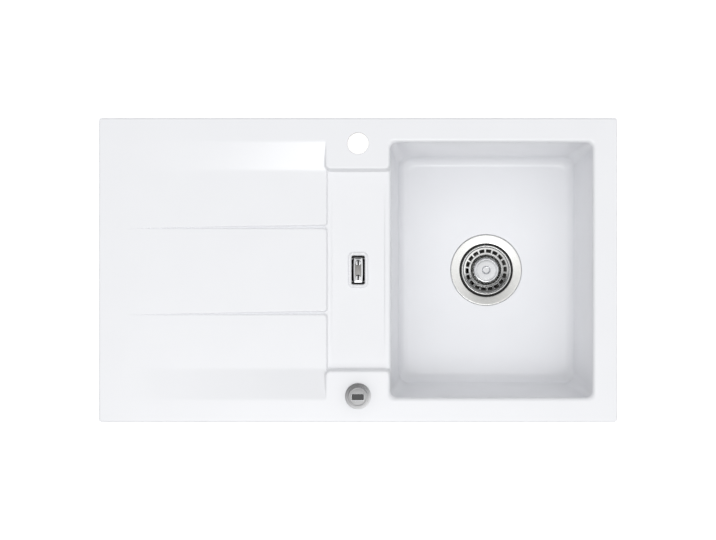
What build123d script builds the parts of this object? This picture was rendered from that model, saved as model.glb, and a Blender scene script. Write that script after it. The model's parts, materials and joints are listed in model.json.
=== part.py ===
from build123d import *
import math
import os

# Inset ceramic kitchen sink with drainer, basket waste, rotary pop-up control and overflow.
# Millimetres. +X runs from the drainer to the bowl, +Y to the tap side, +Z up.
# The origin is the middle of the rim's underside, where the sink rests on the worktop.

# Ceramic body
SINK_LENGTH = 860.0
SINK_WIDTH = 505.0
RIM_HEIGHT = 12.0
CORNER_RADIUS = 5.0
EDGE_RADIUS = 3.0
SEAT_WIDTH = 19.0
SEAT_RELIEF = 1.5
WALL = 12.0
FLOOR_THICKNESS = 14.0

# Bowl
BOWL_RIM = 40.5
BOWL_DEPTH = 190.0
BOWL_DRAFT = 5.0
BOWL_MOUTH_CORNER = 11.0
BOWL_FLOOR_CORNER = 19.0
BOWL_FLOOR_FILLET = 17.0
BOWL_EDGE_RADIUS = 4.0
FLOOR_FALL = 2.0
FALL_RADIUS = 122.0

# Bridge strip between drainer and bowl
BRIDGE_WIDTH = 106.0
BRIDGE_LENGTH = 336.0
BRIDGE_DROP = 12.0
BRIDGE_CORNER = 6.0
BRIDGE_FOOT_RADIUS = 2.5
ISLAND_CORNER = 7.0
DISH_DEPTH = 1.8
DISH_MARGIN = 9.0
DISH_LENGTH = 300.0

# Drainer
DRAINER_MARGIN = 45.0
DRAINER_SIDE_RIM = 38.5
DRAINER_FACET = 49.5
DRAINER_FALL = 8.0
GROOVE_PITCH = 143.0
GROOVE_WIDTH = 6.6
GROOVE_FOOT = 2.2
GROOVE_DEPTH = 3.6

# Tap hole
TAP_HOLE_RADIUS = 17.5
TAP_SETBACK = 42.5
HOLE_EDGE_RADIUS = 1.5

# Overflow
OVERFLOW_WIDTH = 22.0
OVERFLOW_LENGTH = 48.0
OVERFLOW_CORNER = 3.0
OVERFLOW_EDGE_RADIUS = 3.5
LEDGE_DEPTH = 6.2
LEDGE_WIDTH = 5.0
PLATE_WIDTH = 14.5
PLATE_LENGTH = 42.0
PLATE_BULGE = 0.6
PLATE_THICKNESS = 2.6
PLATE_SINK = 0.6
PLATE_FOOT = 1.5
PLATE_FOOT_WIDTH = 10.0
PLATE_SCREW_PITCH = 24.4
PLATE_SCREW_RADIUS = 2.5
PLATE_SCREW_HEAD = 4.6
PLATE_SCREW_SLOT = 1.8
PLATE_SCREW_SLOT_DEPTH = 1.0
PLATE_SCREW_LENGTH = 24.0
POST_RADIUS = 4.6
POST_GAP = 1.0
HEAD_LIP = 8.0
HEAD_FLANGE = 4.0
HEAD_WALL = 2.5
HEAD_HOPPER = 26.0
HEAD_RIB = 3.0
SOFT_SEAL = 3.0

# Overflow pipework
PIPE_RADIUS = 12.5
PIPE_WALL = 1.8
SPIGOT_WALL = 3.2
SPIGOT_LENGTH = 22.0
PIPE_INSERTION = 14.0
ELBOW_RADIUS = 22.0
NUT_WALL = 4.0
NUT_GRIP = 12.0
NUT_LIP = 4.0
NUT_SIDES = 12
UNION_SEAL = 3.0

# Waste
FLANGE_RADIUS = 62.0
FLANGE_SHEET = 1.2
FLANGE_RECESS = 3.0
RECESS_MARGIN = 1.0
WASTE_HOLE_RADIUS = 45.0
SHOULDER_RADIUS = 4.0
CUP_RADIUS = 43.0
CUP_DEPTH = 35.5
CUP_SPOKES = 6
CUP_SPOKE_WIDTH = 7.0
CUP_RING = 6.0
FLANGE_SEAL = 2.3
GASKET = 4.0
BODY_LIP_RADIUS = 58.0
BODY_LIP = 5.0
BODY_RADIUS = 46.5
BODY_WALL = 3.0
BODY_HEIGHT = 62.0
BODY_CONE = 10.0
OUTLET_RADIUS = 23.9
OUTLET_WALL = 3.9
OUTLET_LENGTH = 32.0
SPIDER_GAP = 3.0
SPIDER_HEIGHT = 6.0
SPIDER_RIBS = 3
SPIDER_RIB = 5.0
BOSS_WALL = 4.5
INLET_DROP = 44.0
INLET_REACH = 80.0
CLAMP_RADIUS = 6.5
CLAMP_HEAD_RADIUS = 10.0
CLAMP_HEAD = 4.0
CLAMP_LENGTH = 16.0
PIN_RADIUS = 3.3

# Lifting lever
LIFT = 9.0
FINGER_LENGTH = 26.0
FINGER_RADIUS = 3.0
FINGER_WIDTH = 8.0
FINGER_HUB = 7.0
SHAFT_RADIUS = 4.0
SHAFT_DROP = 52.0
SHAFT_INNER_END = 8.0
SHAFT_BOSS_RADIUS = 9.0
SHAFT_BOSS_END = 53.0
SHAFT_SEAL_WALL = 2.2
CRANK_LENGTH = 26.0
CRANK_THICKNESS = 5.0
CRANK_HUB = 7.0
CRANK_EYE = 4.5
CRANK_EYE_BORE = 1.5
CRANK_GAP = 1.5
BRACKET_THICKNESS = 4.0
BRACKET_LEFT = 44.0
BRACKET_RIGHT = 20.0
BRACKET_TOP = 44.0
BRACKET_BOTTOM = 20.0
LUG_THICKNESS = 5.0
LUG_HEIGHT = 16.0
COVER_DEPTH = 15.0
COVER_WALL = 2.0
COVER_EDGE_RADIUS = 1.5
COVER_SCREW_RADIUS = 1.5
COVER_SCREW_HEAD = 3.0
COVER_SCREW_HEAD_HEIGHT = 1.6
COVER_EAR = 8.0

# Basket
BASKET_RIM_RADIUS = 41.1
BASKET_RIM_RISE = 2.2
BASKET_SHEET = 1.0
BASKET_SHOULDER_RADIUS = 39.0
BASKET_BAND_TOP_RADIUS = 37.6
BASKET_BAND_FOOT_RADIUS = 29.0
BASKET_BAND_DROP = 11.0
BASKET_DEPTH = 24.0
BASKET_WINDOWS = 18
BASKET_BAR = 3.0
BASKET_SHOULDER_DROP = 1.8
BASKET_FOOT_RADIUS = 27.8
BASKET_FLOOR_HOLES = 24
BASKET_FLOOR_HOLE_RADIUS = 1.8
BASKET_FLOOR_HOLE_CIRCLE = 24.6
SEAL_OUTER_RADIUS = 46.0
SEAL_EDGE = 1.2
SEAL_RISE = 2.4
CAP_RADIUS = 21.8
CAP_RISE = 4.0
CAP_HEIGHT = 8.0
CAP_RING_RADIUS = 17.5
CAP_RING_WIDTH = 1.2
CAP_RING_DEPTH = 0.6
CAP_DIMPLE_RADIUS = 7.3
CAP_DIMPLE_DEPTH = 1.2
CAP_EDGE_RADIUS = 2.0
STEM_RADIUS = 6.0
STEM_COLLAR = 10.0
STEM_COLLAR_HEIGHT = 2.0
STEM_SOCKET = 4.0

# Rotary control
CONTROL_SETBACK = 43.5
CONTROL_HOLE_RADIUS = 12.5
CONTROL_BASE_RADIUS = 21.5
CONTROL_BASE_HEIGHT = 5.0
CONTROL_BASE_EDGE = 1.5
CONTROL_BASE_WALL = 1.8
HOUSING_RADIUS = 11.5
HOUSING_CUP_RADIUS = 17.0
HOUSING_CUP_WALL = 2.5
HOUSING_CUP_DROP = 36.0
KNOB_RADIUS = 16.5
KNOB_HEIGHT = 18.5
KNOB_GAP = 0.4
KNOB_EDGE_RADIUS = 1.5
KNOB_RING_RADIUS = 13.6
KNOB_RING_WIDTH = 0.8
KNOB_RING_DEPTH = 0.5
KNOB_GRIP = 12.0
PLAQUE_LENGTH = 20.0
PLAQUE_WIDTH = 10.0
PLAQUE_THICKNESS = 1.0
PLAQUE_CORNER = 1.0
SPINDLE_RADIUS = 4.0
KNOB_TURN = 90.0
CAM_FLANGE = 2.5
CAM_RIM = 2.0
CAM_HEIGHT = 8.0
CONTROL_WASHER = 2.0
CONTROL_WASHER_RADIUS = 19.0
CONTROL_POCKET_GAP = 1.0
CONTROL_NUT_RADIUS = 18.0
CONTROL_NUT = 2.8
CONTROL_NUT_SIDES = 6
CAM_DROP = 22.0

# Bowden cable
CABLE_RADIUS = 2.5
FERRULE_RADIUS = 3.5
FERRULE_COLLAR = 1.5
FERRULE_COLLAR_LENGTH = 6.0
CABLE_SETBACK = 1.0
GLAND_WALL = 2.5
GLAND_LENGTH = 8.0
CABLE_BEND_SHARE = 0.45
CABLE_OUT_X = -66.0
CABLE_IN_X = 92.0
CABLE_LOOP = (
    (-106.0, -188.0, -56.0),
    (-112.0, -164.0, -110.0),
    (-84.0, -138.0, -160.0),
    (-32.0, -112.0, -196.0),
    (30.0, -84.0, -217.0),
)

# Clearances
FIXED_FIT = 0.05
SLIDING_FIT = 0.2
LOOSE_FIT = 0.4
SEAL_GAP = 0.3
LEVER_GAP = 0.2
OVERCUT = 5.0

# Levels and places that follow from the sizes above
deck_z = RIM_HEIGHT
bridge_z = deck_z - BRIDGE_DROP
floor_z = deck_z - BOWL_DEPTH
floor_under_z = floor_z - FLOOR_THICKNESS
bowl_left = BRIDGE_WIDTH / 2
bowl_right = SINK_LENGTH / 2 - BOWL_RIM
bowl_x = (bowl_left + bowl_right) / 2
bowl_length = bowl_right - bowl_left
bowl_width = SINK_WIDTH - 2 * BOWL_RIM
bowl_inset = BOWL_DEPTH * math.tan(math.radians(BOWL_DRAFT))
bridge_left = -BRIDGE_WIDTH / 2
bridge_half = BRIDGE_LENGTH / 2
dish_half = DISH_LENGTH / 2
bridge_under_z = bridge_z - DISH_DEPTH - WALL
drainer_left = -SINK_LENGTH / 2 + DRAINER_MARGIN
drainer_half = SINK_WIDTH / 2 - DRAINER_SIDE_RIM
facet_half = drainer_half - DRAINER_FACET
drainer_run = bridge_left - drainer_left
tap_y = SINK_WIDTH / 2 - TAP_SETBACK
control_y = -SINK_WIDTH / 2 + CONTROL_SETBACK

ledge_z = bridge_z - DISH_DEPTH - LEDGE_DEPTH
plate_top_z = bridge_z - DISH_DEPTH - PLATE_SINK
plate_under_z = plate_top_z - PLATE_THICKNESS
head_top_z = bridge_under_z - SOFT_SEAL
hopper_z = head_top_z - HEAD_FLANGE - HEAD_HOPPER
head_mouth_z = hopper_z - SPIGOT_LENGTH
lower_slot_length = OVERFLOW_LENGTH - 2 * LEDGE_WIDTH

recess_z = floor_z - FLOOR_FALL - FLANGE_RECESS
flange_under_z = recess_z + FLANGE_SEAL
flange_z = flange_under_z + FLANGE_SHEET
cup_z = flange_z - CUP_DEPTH
body_top_z = floor_under_z - GASKET
body_outer = BODY_RADIUS + BODY_WALL
body_foot_z = body_top_z - BODY_HEIGHT
outlet_top_z = body_foot_z - BODY_CONE
outlet_z = outlet_top_z - OUTLET_LENGTH
inlet_z = body_top_z - INLET_DROP
spider_top_z = cup_z - FLANGE_SHEET - SPIDER_GAP
clamp_foot_z = cup_z - CLAMP_LENGTH
spigot_radius = PIPE_RADIUS + SPIGOT_WALL
pipe_bore = PIPE_RADIUS - PIPE_WALL

shaft_x = bowl_x - FINGER_LENGTH
shaft_z = body_top_z - SHAFT_DROP
lever_swing = math.degrees(LIFT / FINGER_LENGTH)
lever_rest = -lever_swing / 2
pin_dome_z = (
    shaft_z
    + FINGER_LENGTH * math.sin(math.radians(lever_rest))
    + (FINGER_RADIUS + PIN_RADIUS + LEVER_GAP) / math.cos(math.radians(lever_rest))
)
basket_floor_z = flange_z - BASKET_DEPTH
pin_top_z = basket_floor_z - BASKET_SHEET - STEM_COLLAR_HEIGHT - LEVER_GAP
bracket_y = -SHAFT_BOSS_END
crank_y = bracket_y - BRACKET_THICKNESS - CRANK_GAP
cable_y = crank_y - CRANK_THICKNESS / 2
cable_end_z = shaft_z + CRANK_LENGTH * math.cos(math.radians(lever_rest))
bracket_left = shaft_x - BRACKET_LEFT

base_top_z = deck_z + CONTROL_BASE_HEIGHT
knob_foot_z = base_top_z + KNOB_GAP
knob_top_z = knob_foot_z + KNOB_HEIGHT
under_deck_z = SEAT_RELIEF
housing_shoulder_z = under_deck_z - CONTROL_WASHER
housing_foot_z = housing_shoulder_z - HOUSING_CUP_DROP
cable_travel = CRANK_LENGTH * math.radians(lever_swing)
cam_radius = cable_travel / math.radians(KNOB_TURN)
cam_z = housing_shoulder_z - CAM_DROP
cable_start_y = control_y + cam_radius
gland_x = -HOUSING_CUP_RADIUS - GLAND_LENGTH


def upright(x, y):
    """The upright axis through a point of the plan."""
    return Axis((x, y, 0), (0, 0, 1))


def section_plane(x, y):
    """The plane of a turned piece's outline: its local x is the radius, its local y the height."""
    return Plane(origin=(x, y, 0), x_dir=(1, 0, 0), z_dir=(0, -1, 0))


def turned(x, y, *outline):
    """A piece turned about the upright axis at x, y from a closed outline of (radius, height)."""
    with BuildPart() as piece:
        with BuildSketch(section_plane(x, y)):
            with BuildLine():
                Polyline(*outline, close=True)
            make_face()
        revolve(axis=upright(x, y))
    return piece.part


def ring(x, y, inner, outer, low, high):
    """A plain turned ring between two radii and two heights."""
    return turned(x, y, (inner, low), (outer, low), (outer, high), (inner, high))


def bowl_form(grow, top_z, low_z, foot_radius):
    """The bowl's drafted form, grown by a wall, from top_z down to low_z, with a rounded foot."""
    slope = math.tan(math.radians(BOWL_DRAFT))
    corner_rate = (BOWL_FLOOR_CORNER - BOWL_MOUTH_CORNER) / BOWL_DEPTH
    with BuildPart() as form:
        for z in (top_z, low_z):
            shrink = (deck_z - z) * slope
            corner = BOWL_MOUTH_CORNER + (deck_z - z) * corner_rate + grow
            with BuildSketch(Plane.XY.offset(z)):
                with Locations((bowl_x, 0)):
                    RectangleRounded(
                        bowl_length - 2 * shrink + 2 * grow,
                        bowl_width - 2 * shrink + 2 * grow,
                        corner,
                    )
        loft(ruled=True)
        fillet(form.faces().sort_by(Axis.Z)[0].edges(), foot_radius)
    return form.part


def drainer_form():
    """The drainer's sunken floor with its two twisted side facets, cut to the islands' outline."""
    far = bowl_left + OVERCUT
    far_fall = DRAINER_FALL * (far - drainer_left) / drainer_run
    sky = deck_z + OVERCUT
    with BuildPart() as wedge:
        for x, fall in ((drainer_left, 0.0), (far, far_fall)):
            with BuildSketch(Plane.YZ.offset(x)):
                with BuildLine():
                    Polyline(
                        (-drainer_half, deck_z),
                        (-facet_half, deck_z - fall),
                        (facet_half, deck_z - fall),
                        (drainer_half, deck_z),
                        (drainer_half, sky),
                        (-drainer_half, sky),
                        close=True,
                    )
                make_face()
        loft(ruled=True)
        with BuildSketch(Plane.XY.offset(bridge_z)) as plan:
            with BuildLine():
                Polyline(
                    (drainer_left - OVERCUT, -drainer_half),
                    (bridge_left, -drainer_half),
                    (bridge_left, -bridge_half),
                    (far, -bridge_half),
                    (far, bridge_half),
                    (bridge_left, bridge_half),
                    (bridge_left, drainer_half),
                    (drainer_left - OVERCUT, drainer_half),
                    close=True,
                )
            make_face()
            inner_corners = (
                plan.vertices()
                .filter_by_position(Axis.X, bridge_left - OVERCUT, bridge_left + OVERCUT)
                .filter_by_position(Axis.Y, -bridge_half - OVERCUT, bridge_half + OVERCUT)
            )
            fillet(inner_corners, ISLAND_CORNER)
        extrude(amount=BRIDGE_DROP + OVERCUT, mode=Mode.INTERSECT)
    return wedge.part


def bridge_form():
    """The sunken bridge strip, open to the bowl, with a rounded foot along its three steps."""
    far = bowl_left + bowl_inset + OVERCUT
    with BuildPart() as strip:
        with BuildSketch(Plane.XY.offset(bridge_z)) as plan:
            with Locations(((bridge_left + far) / 2, 0)):
                Rectangle(far - bridge_left, 2 * bridge_half)
            fillet(plan.vertices().group_by(Axis.X)[0], BRIDGE_CORNER)
        extrude(amount=BRIDGE_DROP + OVERCUT)
        foot = strip.faces().sort_by(Axis.Z)[0].edges()
        fillet(foot.sort_by(Axis.X)[:-1], BRIDGE_FOOT_RADIUS)
    return strip.part


def dish_form():
    """The shallow trough in the bridge, deepest in the middle of its length."""
    width = BRIDGE_WIDTH - 2 * DISH_MARGIN
    with BuildPart() as dish:
        with BuildSketch(Plane.YZ.offset(-width / 2)):
            with BuildLine():
                ThreePointArc(
                    (-dish_half, bridge_z),
                    (0, bridge_z - DISH_DEPTH),
                    (dish_half, bridge_z),
                )
                Polyline(
                    (dish_half, bridge_z),
                    (dish_half, bridge_z + OVERCUT),
                    (-dish_half, bridge_z + OVERCUT),
                    (-dish_half, bridge_z),
                )
            make_face()
        extrude(amount=width)
    return dish.part


def groove_form(y):
    """A drain groove that deepens from nothing at the drainer's left end: steep front, sloped back."""
    reach = bridge_left + OVERCUT
    share = (reach - drainer_left) / drainer_run
    floor = deck_z - DRAINER_FALL * share
    depth = GROOVE_DEPTH * share
    with BuildPart() as groove:
        with BuildSketch(Plane.YZ.offset(reach)):
            with BuildLine():
                Polyline(
                    (y, floor + depth),
                    (y, floor - depth),
                    (y + GROOVE_FOOT * share, floor - depth),
                    (y + GROOVE_WIDTH * share, floor),
                    (y + GROOVE_WIDTH * share, floor + depth),
                    close=True,
                )
            make_face()
        loft(sections=[groove.pending_faces[0], Vertex(drainer_left, y, deck_z)], ruled=True)
    return groove.part


with BuildPart() as sink_body:
    # Rim slab with its worktop seat
    with BuildSketch():
        RectangleRounded(SINK_LENGTH, SINK_WIDTH, CORNER_RADIUS)
    extrude(amount=RIM_HEIGHT)
    with BuildSketch():
        RectangleRounded(SINK_LENGTH - 2 * SEAT_WIDTH, SINK_WIDTH - 2 * SEAT_WIDTH, CORNER_RADIUS)
    extrude(amount=SEAT_RELIEF, mode=Mode.SUBTRACT)
    # Underside of drainer and bridge
    drainer_under_half = drainer_half - WALL
    drainer_end = bridge_left - WALL
    drainer_end_z = deck_z - WALL - DRAINER_FALL * (drainer_end - drainer_left) / drainer_run
    with BuildSketch(Plane.XZ):
        with BuildLine():
            Polyline(
                (drainer_left, deck_z - WALL),
                (drainer_end + WALL, drainer_end_z),
                (drainer_end + WALL, SEAT_RELIEF),
                (drainer_left, SEAT_RELIEF),
                close=True,
            )
        make_face()
    extrude(amount=drainer_under_half, both=True)
    with BuildSketch(Plane.XY.offset(bridge_under_z)):
        with Locations(((drainer_end + bowl_left) / 2, 0)):
            Rectangle(bowl_left - drainer_end, 2 * (bridge_half + WALL))
    extrude(amount=SEAT_RELIEF - bridge_under_z)
    add(bowl_form(WALL, SEAT_RELIEF, floor_under_z, BOWL_FLOOR_FILLET + WALL))
    # Bowl, with its mouth rounded before the bridge is let in
    add(bowl_form(0.0, deck_z, floor_z, BOWL_FLOOR_FILLET), mode=Mode.SUBTRACT)
    deck = sink_body.faces().filter_by(Plane.XY).sort_by(Axis.Z)[-1]
    fillet(deck.inner_wires()[0].edges(), BOWL_EDGE_RADIUS)
    deck = sink_body.faces().filter_by(Plane.XY).sort_by(Axis.Z)[-1]
    fillet(deck.outer_wire().edges(), EDGE_RADIUS)
    # Bridge, drainer, grooves and dish
    add(bridge_form(), mode=Mode.SUBTRACT)
    add(drainer_form(), mode=Mode.SUBTRACT)
    for groove_y in (-GROOVE_PITCH / 2, GROOVE_PITCH / 2):
        add(groove_form(groove_y - GROOVE_WIDTH / 2), mode=Mode.SUBTRACT)
    add(dish_form(), mode=Mode.SUBTRACT)
    # Fall of the bowl floor and recess of the waste
    add(
        turned(
            bowl_x,
            0,
            (0, floor_z + OVERCUT),
            (FALL_RADIUS, floor_z + OVERCUT),
            (FALL_RADIUS, floor_z),
            (FLANGE_RADIUS + RECESS_MARGIN, floor_z - FLOOR_FALL),
            (FLANGE_RADIUS + RECESS_MARGIN, recess_z),
            (0, recess_z),
        ),
        mode=Mode.SUBTRACT,
    )
    # Through holes for waste, tap and control, with room below the deck for the control's washer
    with BuildSketch(Plane.XY.offset(floor_under_z)):
        with Locations((bowl_x, 0)):
            Circle(WASTE_HOLE_RADIUS)
    extrude(amount=FLOOR_THICKNESS, mode=Mode.SUBTRACT)
    hole_foot_z = bridge_under_z - OVERCUT
    with BuildSketch(Plane.XY.offset(hole_foot_z)):
        with Locations((0, tap_y)):
            Circle(TAP_HOLE_RADIUS)
        with Locations((0, control_y)):
            Circle(CONTROL_HOLE_RADIUS)
    extrude(amount=deck_z - hole_foot_z, mode=Mode.SUBTRACT)
    with BuildSketch(Plane.XY.offset(hole_foot_z)):
        with Locations((0, control_y)):
            Circle(CONTROL_WASHER_RADIUS + CONTROL_POCKET_GAP)
    extrude(amount=under_deck_z - hole_foot_z, mode=Mode.SUBTRACT)
    # Overflow opening with a ledge at each end
    with BuildSketch(Plane.XY.offset(ledge_z)):
        RectangleRounded(OVERFLOW_WIDTH, OVERFLOW_LENGTH, OVERFLOW_CORNER)
    extrude(amount=bridge_z - ledge_z, mode=Mode.SUBTRACT)
    with BuildSketch(Plane.XY.offset(bridge_under_z)):
        RectangleRounded(OVERFLOW_WIDTH, lower_slot_length, OVERFLOW_CORNER)
    extrude(amount=ledge_z - bridge_under_z, mode=Mode.SUBTRACT)
    # Rounded mouths of the tap hole and the overflow opening
    tap_mouth = (
        sink_body.edges().filter_by(GeomType.CIRCLE).sort_by_distance((TAP_HOLE_RADIUS, tap_y, deck_z))[0]
    )
    fillet(tap_mouth, HOLE_EDGE_RADIUS)
    overflow_mouth = (
        sink_body.edges()
        .filter_by_position(Axis.Z, ledge_z + OVERFLOW_EDGE_RADIUS, bridge_z - DISH_DEPTH / 2)
        .filter_by_position(Axis.X, -OVERFLOW_WIDTH / 2, OVERFLOW_WIDTH / 2)
        .filter_by_position(Axis.Y, -OVERFLOW_LENGTH / 2, OVERFLOW_LENGTH / 2)
    )
    fillet(overflow_mouth, OVERFLOW_EDGE_RADIUS)

waste_plane = Plane(origin=(bowl_x, 0, 0))

with BuildPart() as waste_flange:
    shoulder_middle = (CUP_RADIUS + SHOULDER_RADIUS, flange_z - SHOULDER_RADIUS)
    clamp_hole = CLAMP_RADIUS + SLIDING_FIT
    with BuildSketch(section_plane(bowl_x, 0)):
        with BuildLine():
            shoulder = CenterArc(shoulder_middle, SHOULDER_RADIUS, 90, 90)
            Polyline(
                shoulder @ 1,
                (CUP_RADIUS, cup_z),
                (clamp_hole, cup_z),
                (clamp_hole, cup_z - FLANGE_SHEET),
                (CUP_RADIUS + FLANGE_SHEET, cup_z - FLANGE_SHEET),
                (CUP_RADIUS + FLANGE_SHEET, flange_z - SHOULDER_RADIUS),
            )
            under = CenterArc(shoulder_middle, SHOULDER_RADIUS - FLANGE_SHEET, 180, -90)
            Polyline(
                under @ 1,
                (FLANGE_RADIUS, flange_under_z),
                (FLANGE_RADIUS, flange_z),
                shoulder @ 0,
            )
        make_face()
    revolve(axis=upright(bowl_x, 0))
    fillet(waste_flange.edges().filter_by(GeomType.CIRCLE).sort_by(SortBy.RADIUS)[-1], FLANGE_SHEET / 2)
    # Water ways between the spokes of the cup floor
    with BuildSketch(waste_plane.offset(cup_z - FLANGE_SHEET)):
        Circle(CUP_RADIUS - CUP_RING)
        Circle(CLAMP_HEAD_RADIUS + FLANGE_SHEET, mode=Mode.SUBTRACT)
        with PolarLocations(CUP_RADIUS / 2, CUP_SPOKES):
            Rectangle(CUP_RADIUS, CUP_SPOKE_WIDTH, mode=Mode.SUBTRACT)
    extrude(amount=FLANGE_SHEET, mode=Mode.SUBTRACT)

with BuildPart() as flange_seal:
    seal_inner = CUP_RADIUS + SHOULDER_RADIUS
    add(ring(bowl_x, 0, seal_inner, FLANGE_RADIUS - RECESS_MARGIN, recess_z, flange_under_z))

with BuildPart() as waste_gasket:
    add(ring(bowl_x, 0, WASTE_HOLE_RADIUS + RECESS_MARGIN, BODY_LIP_RADIUS, body_top_z, floor_under_z))

with BuildPart() as waste_body:
    # Outside of the housing and its outlet
    add(
        turned(
            bowl_x,
            0,
            (0, body_top_z),
            (BODY_LIP_RADIUS, body_top_z),
            (BODY_LIP_RADIUS, body_top_z - BODY_LIP),
            (body_outer, body_top_z - BODY_LIP),
            (body_outer, body_foot_z),
            (OUTLET_RADIUS, outlet_top_z - BODY_WALL),
            (OUTLET_RADIUS, outlet_z),
            (0, outlet_z),
        )
    )
    # Overflow inlet, shaft boss, lever bracket and cable lug
    inlet_plane = Plane(origin=(bowl_x - INLET_REACH, 0, inlet_z), x_dir=(0, 1, 0), z_dir=(1, 0, 0))
    with BuildSketch(inlet_plane):
        Circle(spigot_radius)
    extrude(amount=INLET_REACH)
    shaft_plane = Plane(origin=(shaft_x, bracket_y, shaft_z), x_dir=(1, 0, 0), z_dir=(0, 1, 0))
    with BuildSketch(shaft_plane):
        Circle(SHAFT_BOSS_RADIUS)
    extrude(amount=SHAFT_BOSS_END)
    with BuildSketch(Plane.XZ.offset(-bracket_y)):
        with Locations((bracket_left, shaft_z - BRACKET_BOTTOM)):
            Rectangle(
                BRACKET_LEFT + BRACKET_RIGHT,
                BRACKET_BOTTOM + BRACKET_TOP,
                align=(Align.MIN, Align.MIN),
            )
    extrude(amount=BRACKET_THICKNESS)
    with BuildSketch(Plane.XZ.offset(-bracket_y)):
        with Locations((bracket_left, cable_end_z)):
            Rectangle(LUG_THICKNESS, LUG_HEIGHT, align=(Align.MIN, Align.CENTER))
    extrude(amount=BRACKET_THICKNESS + COVER_DEPTH)
    # Inside of the housing
    outlet_bore = OUTLET_RADIUS - OUTLET_WALL
    add(
        turned(
            bowl_x,
            0,
            (0, body_top_z + OVERCUT),
            (BODY_RADIUS, body_top_z + OVERCUT),
            (BODY_RADIUS, body_foot_z),
            (outlet_bore, outlet_top_z),
            (outlet_bore, outlet_z - OVERCUT),
            (0, outlet_z - OVERCUT),
        ),
        mode=Mode.SUBTRACT,
    )
    with BuildSketch(inlet_plane):
        Circle(PIPE_RADIUS + SLIDING_FIT)
    extrude(amount=PIPE_INSERTION, mode=Mode.SUBTRACT)
    with BuildSketch(inlet_plane):
        Circle(pipe_bore)
    extrude(amount=INLET_REACH, mode=Mode.SUBTRACT)
    with BuildSketch(shaft_plane.offset(-BRACKET_THICKNESS)):
        Circle(SHAFT_RADIUS + SLIDING_FIT)
    extrude(amount=BRACKET_THICKNESS + SHAFT_BOSS_END, mode=Mode.SUBTRACT)
    with BuildSketch(shaft_plane.offset(-BRACKET_THICKNESS)):
        Circle(SHAFT_RADIUS + SHAFT_SEAL_WALL)
    extrude(amount=BRACKET_THICKNESS, mode=Mode.SUBTRACT)
    with BuildSketch(Plane.YZ.offset(bracket_left)):
        with Locations((cable_y, cable_end_z)):
            Circle(FERRULE_RADIUS + FIXED_FIT)
    extrude(amount=LUG_THICKNESS, mode=Mode.SUBTRACT)
    # Spider that takes the clamp screw
    with BuildSketch(waste_plane.offset(spider_top_z - SPIDER_HEIGHT)):
        Circle(CLAMP_RADIUS + BOSS_WALL)
        with PolarLocations(BODY_RADIUS / 2, SPIDER_RIBS):
            Rectangle(BODY_RADIUS + BODY_WALL, SPIDER_RIB)
        Circle(CLAMP_RADIUS + FIXED_FIT, mode=Mode.SUBTRACT)
    extrude(amount=SPIDER_HEIGHT)
    # Pilot holes of the cover screws
    screw_x = shaft_x + (BRACKET_RIGHT - BRACKET_LEFT + LUG_THICKNESS) / 2
    screw_low_z = shaft_z - BRACKET_BOTTOM + COVER_EAR / 2
    screw_high_z = shaft_z + BRACKET_TOP - COVER_EAR / 2
    with BuildSketch(Plane.XZ.offset(-bracket_y)):
        with Locations((screw_x, screw_low_z), (screw_x, screw_high_z)):
            Circle(COVER_SCREW_RADIUS + FIXED_FIT)
    extrude(amount=BRACKET_THICKNESS, mode=Mode.SUBTRACT)

with BuildPart() as clamp_screw:
    pin_bore = PIN_RADIUS + SLIDING_FIT
    add(
        turned(
            bowl_x,
            0,
            (pin_bore, clamp_foot_z),
            (CLAMP_RADIUS, clamp_foot_z),
            (CLAMP_RADIUS, cup_z),
            (CLAMP_HEAD_RADIUS, cup_z),
            (CLAMP_HEAD_RADIUS, cup_z + CLAMP_HEAD),
            (pin_bore, cup_z + CLAMP_HEAD),
        )
    )

with BuildPart() as lift_pin:
    with BuildSketch(waste_plane.offset(pin_dome_z)):
        Circle(PIN_RADIUS)
    extrude(amount=pin_top_z - pin_dome_z)
    with Locations((bowl_x, 0, pin_dome_z)):
        Sphere(PIN_RADIUS)

lever_plane = Plane(origin=(shaft_x, 0, shaft_z), x_dir=(1, 0, 0), z_dir=(0, -1, 0))
tip = (
    FINGER_LENGTH * math.cos(math.radians(lever_rest)),
    FINGER_LENGTH * math.sin(math.radians(lever_rest)),
)
eye = (
    -CRANK_LENGTH * math.sin(math.radians(lever_rest)),
    CRANK_LENGTH * math.cos(math.radians(lever_rest)),
)

with BuildPart() as lift_finger:
    with BuildSketch(lever_plane):
        Circle(FINGER_RADIUS)
        with Locations(tip):
            Circle(FINGER_RADIUS)
        make_hull()
        Circle(FINGER_HUB)
        Circle(SHAFT_RADIUS + FIXED_FIT, mode=Mode.SUBTRACT)
    extrude(amount=FINGER_WIDTH / 2, both=True)

with BuildPart() as crank_arm:
    with BuildSketch(lever_plane.offset(-crank_y)):
        Circle(CRANK_HUB)
        with Locations(eye):
            Circle(CRANK_EYE)
        make_hull()
        Circle(SHAFT_RADIUS + FIXED_FIT, mode=Mode.SUBTRACT)
        with Locations(eye):
            Circle(CRANK_EYE_BORE, mode=Mode.SUBTRACT)
    extrude(amount=CRANK_THICKNESS)

with BuildPart() as lever_shaft:
    with BuildSketch(lever_plane.offset(-SHAFT_INNER_END)):
        Circle(SHAFT_RADIUS)
    extrude(amount=SHAFT_INNER_END - crank_y + CRANK_THICKNESS)

with BuildPart() as shaft_seal:
    with BuildSketch(lever_plane.offset(-bracket_y)):
        Circle(SHAFT_RADIUS + SHAFT_SEAL_WALL - FIXED_FIT)
        Circle(SHAFT_RADIUS + FIXED_FIT, mode=Mode.SUBTRACT)
    extrude(amount=BRACKET_THICKNESS)

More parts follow.
